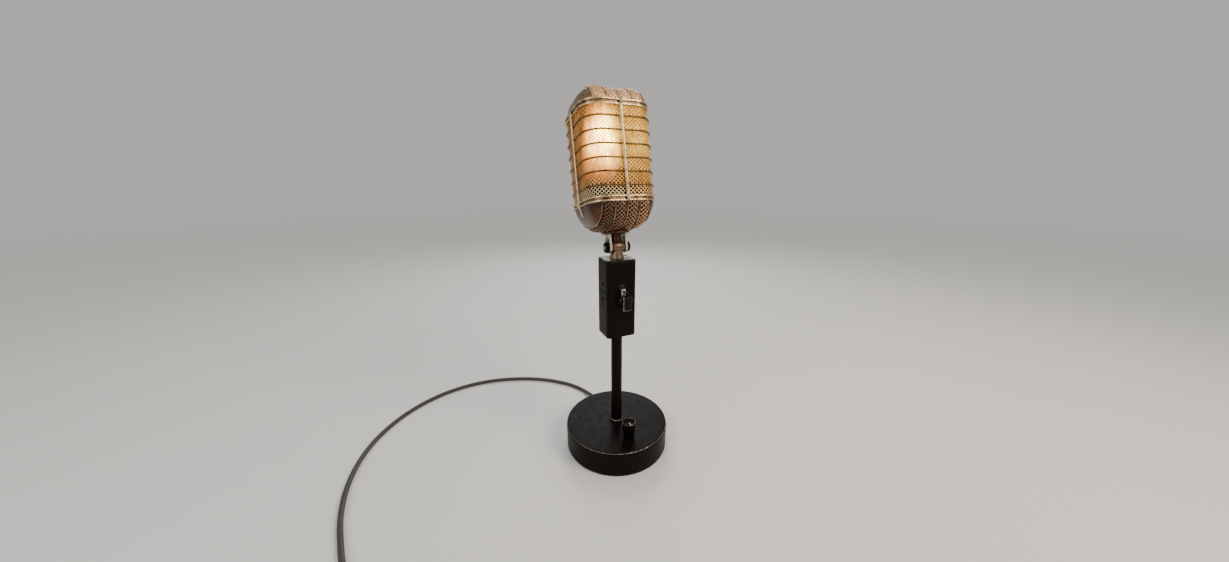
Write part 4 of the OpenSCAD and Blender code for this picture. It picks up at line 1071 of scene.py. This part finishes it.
# Smooth sheet over the part of a dome beyond a distance to one side
def domeCheek(dome, side, start, wall):
    n = domeSet["power"]
    a, b = h["halfW"] - 0.1, h["halfD"] - 0.1
    aim = np.linspace(-1, 1, 61)
    limit = math.atan2(domeReach(start + 0.5, a, b), start + 0.5)
    turn = limit * np.sin(aim * np.pi / 2)
    way = np.stack([np.cos(turn), np.sin(turn)], -1)
    far = 1 / (np.abs(way[:, 0] / a) ** n + np.abs(way[:, 1] / b) ** n) ** (1 / n)
    near = np.minimum(start / (way[:, 0] * far), 0.997)
    t = np.linspace(0, 1, 26)[None]
    k = near[:, None] + (1 - near[:, None]) * (1 - (1 - t) ** 2)
    skins = []
    for inset in (0, wall):
        scale = np.array([(a - inset) / a, (b - inset) / b])
        u = k * far[:, None] * way[:, :1] * scale[0]
        v = k * far[:, None] * way[:, 1:] * scale[1]
        u = np.maximum(u, start)
        z = domeHeight(u, v, a - inset, b - inset, dome, -inset)
        skins.append(fromHead(np.stack([side * u, v, dome["edge"] + dome["way"] * z], -1)))
    wear = np.full((len(turn), t.size), 0.1)
    wear[:, :2] = 0.5
    return thickSheet(skins[0], skins[1], wear)


# Thin rib over a dome from front to back; gap keeps it off the boss in the middle
def domeRib(u, dome, gap):
    reach = domeReach(abs(u), h["halfW"], h["halfD"])
    swing = np.linspace(-1, 1, 121)
    v = reach * np.sin(swing * np.pi / 2)
    grow = 0.2
    scale = (h["halfD"] + grow) / h["halfD"]
    z = domeHeight(np.full_like(v, u), v * scale, h["halfW"] + grow, h["halfD"] + grow, dome, grow)
    line = np.stack([np.full_like(v, u), v * scale, dome["edge"] + dome["way"] * z], -1)
    keep = z > 4.75
    line = line[keep]
    ahead = np.gradient(line, axis=0)
    lift = np.stack([0 * ahead[:, 0], -ahead[:, 2], ahead[:, 1]], -1) * dome["way"]
    lift /= np.linalg.norm(lift, axis=1, keepdims=True)
    section = roundedSection(1.4, 1.8, 0.55, 4)
    runs = [np.arange(len(line))]
    if gap > abs(u):
        clear = math.sqrt(gap ** 2 - u ** 2)
        runs = [np.where(line[:, 1] < -clear)[0], np.where(line[:, 1] > clear)[0]]
    bits = []
    for run in runs:
        vv, f, w = sweepPath(line[run], [1, 0, 0], lift[run], section)
        bits.append(shape(fromHead(vv), f, w))
    return bits


cheekStart = 2 * h["ribPitch"] + 0.2
for name, finish, slot in (("low", shadedBronze, "bronze"), ("top", oliveNickel, "olive_nickel")):
    dome = domeSet[name]
    word = {"low": "bottom", "top": "top"}[name]
    cheeks = [domeCheek(dome, side, cheekStart, 1.2) for side in (-1, 1)]
    makePiece(word + "Cheeks", cheeks, "head", slot, finish, (word + "_cheeks",), sharp=60)
    ribs = []
    for k in range(-2, 3):
        ribs += domeRib(k * h["ribPitch"], dome, 19.6 if name == "low" else 0)
    makePiece(word + "Ribs", ribs, "head", "nickel", brightNickel if name == "top" else shadedRibNickel,
              (word + "_ribs",))


# Screen: expanded metal, a lattice of diamond holes

# Half steps a by b; a hole sits where a + b is odd, and strands cross where it is even.
# around gives a point of the sheet from (a, b, outward offset); wrap joins the a ends
def diamondScreen(countA, countB, around, hole=0.79, thick=0.5, crossing=0.22, wrap=False, keep=None):
    a, b = np.meshgrid(np.arange(countA), np.arange(countB + 1), indexing="ij")
    isHole = (a + b) % 2 == 1
    isHole &= (b > 0) & (b < countB)
    if not wrap:
        isHole &= (a > 0) & (a < countA - 1)
    if keep is not None:
        isHole &= keep(a, b)
    ha, hb = a[isHole], b[isHole]
    steps = np.array([[1, 0], [0, 1], [-1, 0], [0, -1]])
    crossA = ha[:, None] + steps[:, 0]
    crossB = hb[:, None] + steps[:, 1]
    if wrap:
        crossId = (crossA % countA) * (countB + 1) + crossB
    else:
        crossId = crossA * (countB + 1) + crossB
    used, crossAt = np.unique(crossId, return_inverse=True)
    crossAt = crossAt.reshape(crossId.shape)
    ua, ub = used // (countB + 1), used % (countB + 1)
    na, nh = len(used), len(ha)
    ia = ha[:, None] + steps[:, 0] * hole
    ib = hb[:, None] + steps[:, 1] * hole
    lift = crossing * np.where((ua + ub) // 2 % 2 == 0, 1.0, 0.25)
    front = np.vstack([around(ua, ub, lift), around(ia.ravel(), ib.ravel(), np.zeros(nh * 4))])
    back = np.vstack([around(ua, ub, lift * 0.5 - thick),
                      around(ia.ravel(), ib.ravel(), np.full(nh * 4, -thick))])
    total = na + nh * 4
    inner = na + np.arange(nh * 4).reshape(nh, 4)
    nextCross, nextInner = np.roll(crossAt, -1, 1), np.roll(inner, -1, 1)
    face = np.stack([crossAt, nextCross, nextInner, inner], -1).reshape(-1, 4)
    wall = np.stack([inner, nextInner, nextInner + total, inner + total], -1).reshape(-1, 4)
    edges = np.stack([crossAt, nextCross], -1).reshape(-1, 2)
    key = np.sort(edges, 1)
    key = key[:, 0] * total + key[:, 1]
    _, at, count = np.unique(key, return_index=True, return_counts=True)
    bare = edges[at[count == 1]]   # edges of one face only, round the sheet's rim
    rim = np.stack([bare[:, 1], bare[:, 0], bare[:, 0] + total, bare[:, 1] + total], -1)
    faces = np.vstack([face, (face + total)[:, ::-1], wall, rim])
    return shape(np.vstack([front, back]), faces.tolist())


# The real diamonds are about 4 mm across; these are wider, so that they still show from a step away
screenSet = {"pitch": 5.4, "tall": 4.8}   # across one diamond and up it, corner to corner
edgeIn = 1.5
rows = int(round((h["high"] - h["low"] - 2 * edgeIn) / (screenSet["tall"] / 2)))
cols = int(round(cageLine.length / (screenSet["pitch"] / 2) / 2)) * 2


def aroundCage(a, b, out):
    xy, way = cageLine.at(a / cols * cageLine.length)
    height = h["low"] + edgeIn + b / rows * (h["high"] - h["low"] - 2 * edgeIn)
    # the screen bellies in a little between the hoops that stiffen it
    phase = (height - h["low"]) / bandPitch
    inward = 0.35 + 0.35 * np.sin(np.pi * phase) ** 2
    xy = xy + (out - inward)[:, None] * way
    return fromHead(np.c_[xy, height])


makePiece("cageScreen", [diamondScreen(cols, rows, aroundCage, wrap=True)], "head", "gold_mesh",
          goldScreen, ("cage_mesh",), sharp=180)


# Even steps along a dome from front to back: for each line across, where its arc length is a share s
def domeTable(dome, halfWide, count):
    u = np.linspace(-halfWide, halfWide, count)
    fine = np.sin(np.linspace(-1, 1, 401) * np.pi / 2)
    v = domeReach(np.abs(u), h["halfW"], h["halfD"])[:, None] * 0.9995 * fine[None]
    z = domeHeight(np.repeat(u[:, None], 401, 1), v, h["halfW"], h["halfD"], dome)
    step = np.hypot(np.diff(v, axis=1), np.diff(z, axis=1))
    share = np.c_[np.zeros(count), np.cumsum(step, 1)]
    return u, v, share / share[:, -1:], float(share[count // 2, -1])


def domeScreen(dome, hole):
    halfWide = 2 * h["ribPitch"]
    across = int(round(2 * halfWide / (screenSet["pitch"] / 2) / 2)) * 2
    u, v, share, length = domeTable(dome, halfWide, across + 1)
    along = int(round(length / (screenSet["pitch"] / 2)))
    vAt = np.array([np.interp(np.linspace(0, 1, along * 10 + 1), share[k], v[k]) for k in range(across + 1)])

    # a runs along the arc and b across; between two lines the places are averaged
    def around(a, b, out):
        low = np.clip(np.floor(b).astype(int), 0, across - 1)
        part = b - low
        at = np.clip(np.round(a * 10).astype(int), 0, along * 10)
        uu = u[0] + b / across * 2 * halfWide
        vv = vAt[low, at] * (1 - part) + vAt[low + 1, at] * part
        # pinched at the ribs and puffed out between them
        grow = out - 0.9 + 2.1 * np.abs(np.sin(np.pi * uu / h["ribPitch"])) ** 0.8
        scale = (h["halfD"] + grow) / h["halfD"]
        z = domeHeight(uu, vv * scale, h["halfW"] + grow, h["halfD"] + grow, dome, 0) + grow * 0.9
        z = np.maximum(z, 0.4)
        return fromHead(np.stack([uu, vv * scale, dome["edge"] + dome["way"] * z], -1))

    def clearOfBoss(a, b):
        low = np.clip(b, 0, across)
        vv = vAt[low, np.clip(a * 10, 0, along * 10)]
        uu = u[0] + b / across * 2 * halfWide
        return np.hypot(uu, vv) > 18.2

    return diamondScreen(along + 1, across, around, keep=clearOfBoss if hole else None)


makePiece("topScreen", [domeScreen(domeSet["top"], False)], "head", "gold_mesh", litTopScreen,
          ("top_mesh",), sharp=180)
makePiece("bottomScreen", [domeScreen(domeSet["low"], True)], "head", "gold_mesh", shadedUnderScreen,
          ("bottom_mesh",), sharp=180)
print("cage done")


# Inside the cage: gauze, black silk of painted shade, the bulb and its holder

linerSet = {"inset": 2.6, "low": 60, "high": 168.5, "wall": 0.25}


# The gauze hangs inside the screen in shallow folds, open at both ends
def liner(c):
    inner = Outline(h["halfW"] - c["inset"], h["halfD"] - c["inset"], h["corner"] - c["inset"], 10)
    zs = np.linspace(c["low"], c["high"], 40)
    s = roundStations(inner, 8)
    base, way = inner.at(s)
    skins = []
    for inset in (0, c["wall"]):
        fold = 0.25 * np.sin(s / inner.length * 2 * np.pi * 46)[None] * np.linspace(1, 0.3, 40)[:, None]
        xy = base[None] + (fold - inset - 0.25)[..., None] * way[None]
        skins.append(np.concatenate([xy, np.repeat(zs[:, None, None], len(s), 1)], -1))
    # down the outside and back up the inside
    sheet = np.concatenate([skins[0], skins[1][::-1]])
    return rings(fromHead(sheet), loop=True)


# A dome of gauze a little inside the top screen
def topLiner(c):
    dome = domeSet["top"]
    grids = []
    for drop in (2.8, 2.8 + c["wall"]):
        u = np.linspace(-32, 32, 49)[:, None] * np.ones((1, 61))
        reach = domeReach(np.abs(u), h["halfW"] - drop, h["halfD"] - drop)
        v = reach * np.sin(np.linspace(-1, 1, 61) * np.pi / 2)[None] * 0.998
        z = domeHeight(u, v, h["halfW"] - drop, h["halfD"] - drop, dome, -drop)
        grids.append(fromHead(np.stack([u, v, dome["edge"] + z], -1)))
    return thickSheet(grids[0], grids[1])


# Dark silk inside the bottom dome, open in the middle for the boss: painted shade for the dark inside
def lowLiner(c):
    dome = domeSet["low"]
    grids = []
    for drop in (2.4, 2.4 + c["wall"]):
        u = np.linspace(-32.6, 32.6, 49)[:, None] * np.ones((1, 41))
        reach = domeReach(np.abs(u), h["halfW"] - drop, h["halfD"] - drop) * 0.998
        clear = np.sqrt(np.clip(19.0 ** 2 - u ** 2, 0, None)) + 0.3
        t = np.linspace(0, 1, 41)[None]
        v = clear + (reach - clear) * np.sin(t * np.pi / 2)
        z = domeHeight(u, v, h["halfW"] - drop, h["halfD"] - drop, dome, -drop)
        grids.append((u, v, z))
    sheets = []
    for sign in (-1, 1):
        skins = [fromHead(np.stack([u, sign * v, dome["edge"] - z], -1)) for u, v, z in grids]
        sheets.append(thickSheet(skins[0], skins[1]))
    return sheets


makePiece("linerCloth", [liner(linerSet)], "head", "gold_mesh", lampCloth)
makePiece("linerCrown", [topLiner(linerSet)], "head", "gold_mesh", crownGauze)
makePiece("shadowSheet", lowLiner(linerSet), "head", "gold_mesh", shadowSilk)

bulbSet = {"at": (-4, 4), "middle": 122, "power": 1.2, "size": 0.016, "tint": "#ffb060"}
bulbCentre = (*bulbSet["at"], 0)
t = np.linspace(0.1, 1, 8)
glassRows = np.vstack([[[0.02, 85.2], [10.9, 85.3], [11, 93]],
                       np.stack([11 + 6 * (3 * t ** 2 - 2 * t ** 3), 93 + 16 * t], -1),
                       [[17, 118], [17, 126], [17, 133]], arc(0, 133, 17, 4, 89, 12)])
v, f, w = lathe(glassRows, bulbCentre, 56)
makePiece("bulbGlass", [(fromHead(v), f, w)], "head", "bulb_glass", litGlass, ("bulb_glass",))
holderRows = [[0.02, 59.2], [13, 59.2], [14, 60], [14, 66], [13.2, 67], [13.2, 77], [14, 78], [14, 83],
              [13.4, 84.6], [12, 85], [0.02, 85]]
v, f, w = lathe(holderRows, bulbCentre, 48)
makePiece("lampHolder", [(fromHead(v), f, w)], "head", "porcelain", porcelain, ("lamp_holder",))


# Lights that belong to the lamp and to the room

def placeLight(name, kind, at, power, size, tint, aim=None, body=None):
    data = bpy.data.lights.new(name, kind)
    data.energy = power
    data.color = colour(tint)[:3]
    if kind == "AREA":
        data.shape = "SQUARE"
        data.size = size
    else:
        data.shadow_soft_size = size
    lamp = bpy.data.objects.new(name, data)
    lamp.location = at
    if aim is not None:
        lamp.rotation_euler = (Vector(aim) - Vector(at)).to_track_quat("-Z", "Y").to_euler()
    scene.collection.objects.link(lamp)
    if body:
        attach(lamp, body)
    return lamp


bulbMiddle = fromHead([*bulbSet["at"], bulbSet["middle"]]) * mm
placeLight("bulbLight", "POINT", bulbMiddle, bulbSet["power"], bulbSet["size"], bulbSet["tint"], body="head")

# Soft boxes round the table: places in metres, power in watts
roomLights = {
    "keyLight": {"at": (0.75, -1.0, 1.25), "power": 14, "size": 0.7, "tint": "#fff1e0", "aim": (0, 0, 0.3)},
    "fillLight": {"at": (-1.2, -0.7, 1.0), "power": 6, "size": 0.9, "tint": "#f4f4ff", "aim": (0, 0, 0.25)},
    "backLight": {"at": (0.5, 1.2, 1.1), "power": 8, "size": 0.8, "tint": "#ffffff", "aim": (0, 0, 0.3)},
}
for name, light in roomLights.items():
    placeLight(name, "AREA", **light)
print("lights done")

# Floor: a wide pale table top, drawn as one shallow slab
floorRows = [[0.1, -20], [60000, -20], [60000, -0.1], [600, -0.1], [0.1, -0.1]]   # 60 m out
v, f, w = lathe(floorRows, sides=96)
floorMesh = bpy.data.meshes.new("floor")
floorMesh.from_pydata((v * mm).tolist(), [], f)
floorMesh.materials.append(paleFloor)
floor = bpy.data.objects.new("floor", floorMesh)
scene.collection.objects.link(floor)
world = bpy.data.worlds.new("studio")
world.use_nodes = True
world.node_tree.nodes["Background"].inputs["Color"].default_value = colour(skyColour)
world.node_tree.nodes["Background"].inputs["Strength"].default_value = skyStrength
scene.world = world


# The nodes that stay come with a plain material named for its slot, and get the real finish

slotFinish = {
    "felt": wool, "black_paint": blackEnamel, "worn_black": rubbedEnamel, "zinc_steel": zinc,
    "cast_iron": castIron, "cream_plastic": creamMoulding, "cord_rubber": pvcJacket, "brass": turnedBrass,
    "braid": cotton, "phenolic": phenolic, "nickel": brightNickel, "spring_steel": zinc, "bronze": bronze,
    "knob_bakelite": bakelite, "pointer_ivory": ivory, "fibre": fibre, "gold_mesh": goldScreen,
    "olive_nickel": oliveNickel, "magnet_steel": magnetSteel, "soft_iron": softIron, "foil": foil,
    "core_iron": laminations, "porcelain": porcelain, "bulb_glass": litGlass, "hot_wire": hotWire,
}
for node in nodes.values():
    if not node.hide_render:
        slot = node.data.materials[0].name.split(".")[0]
        node.data.materials[0] = slotFinish[slot]
print("materials done")
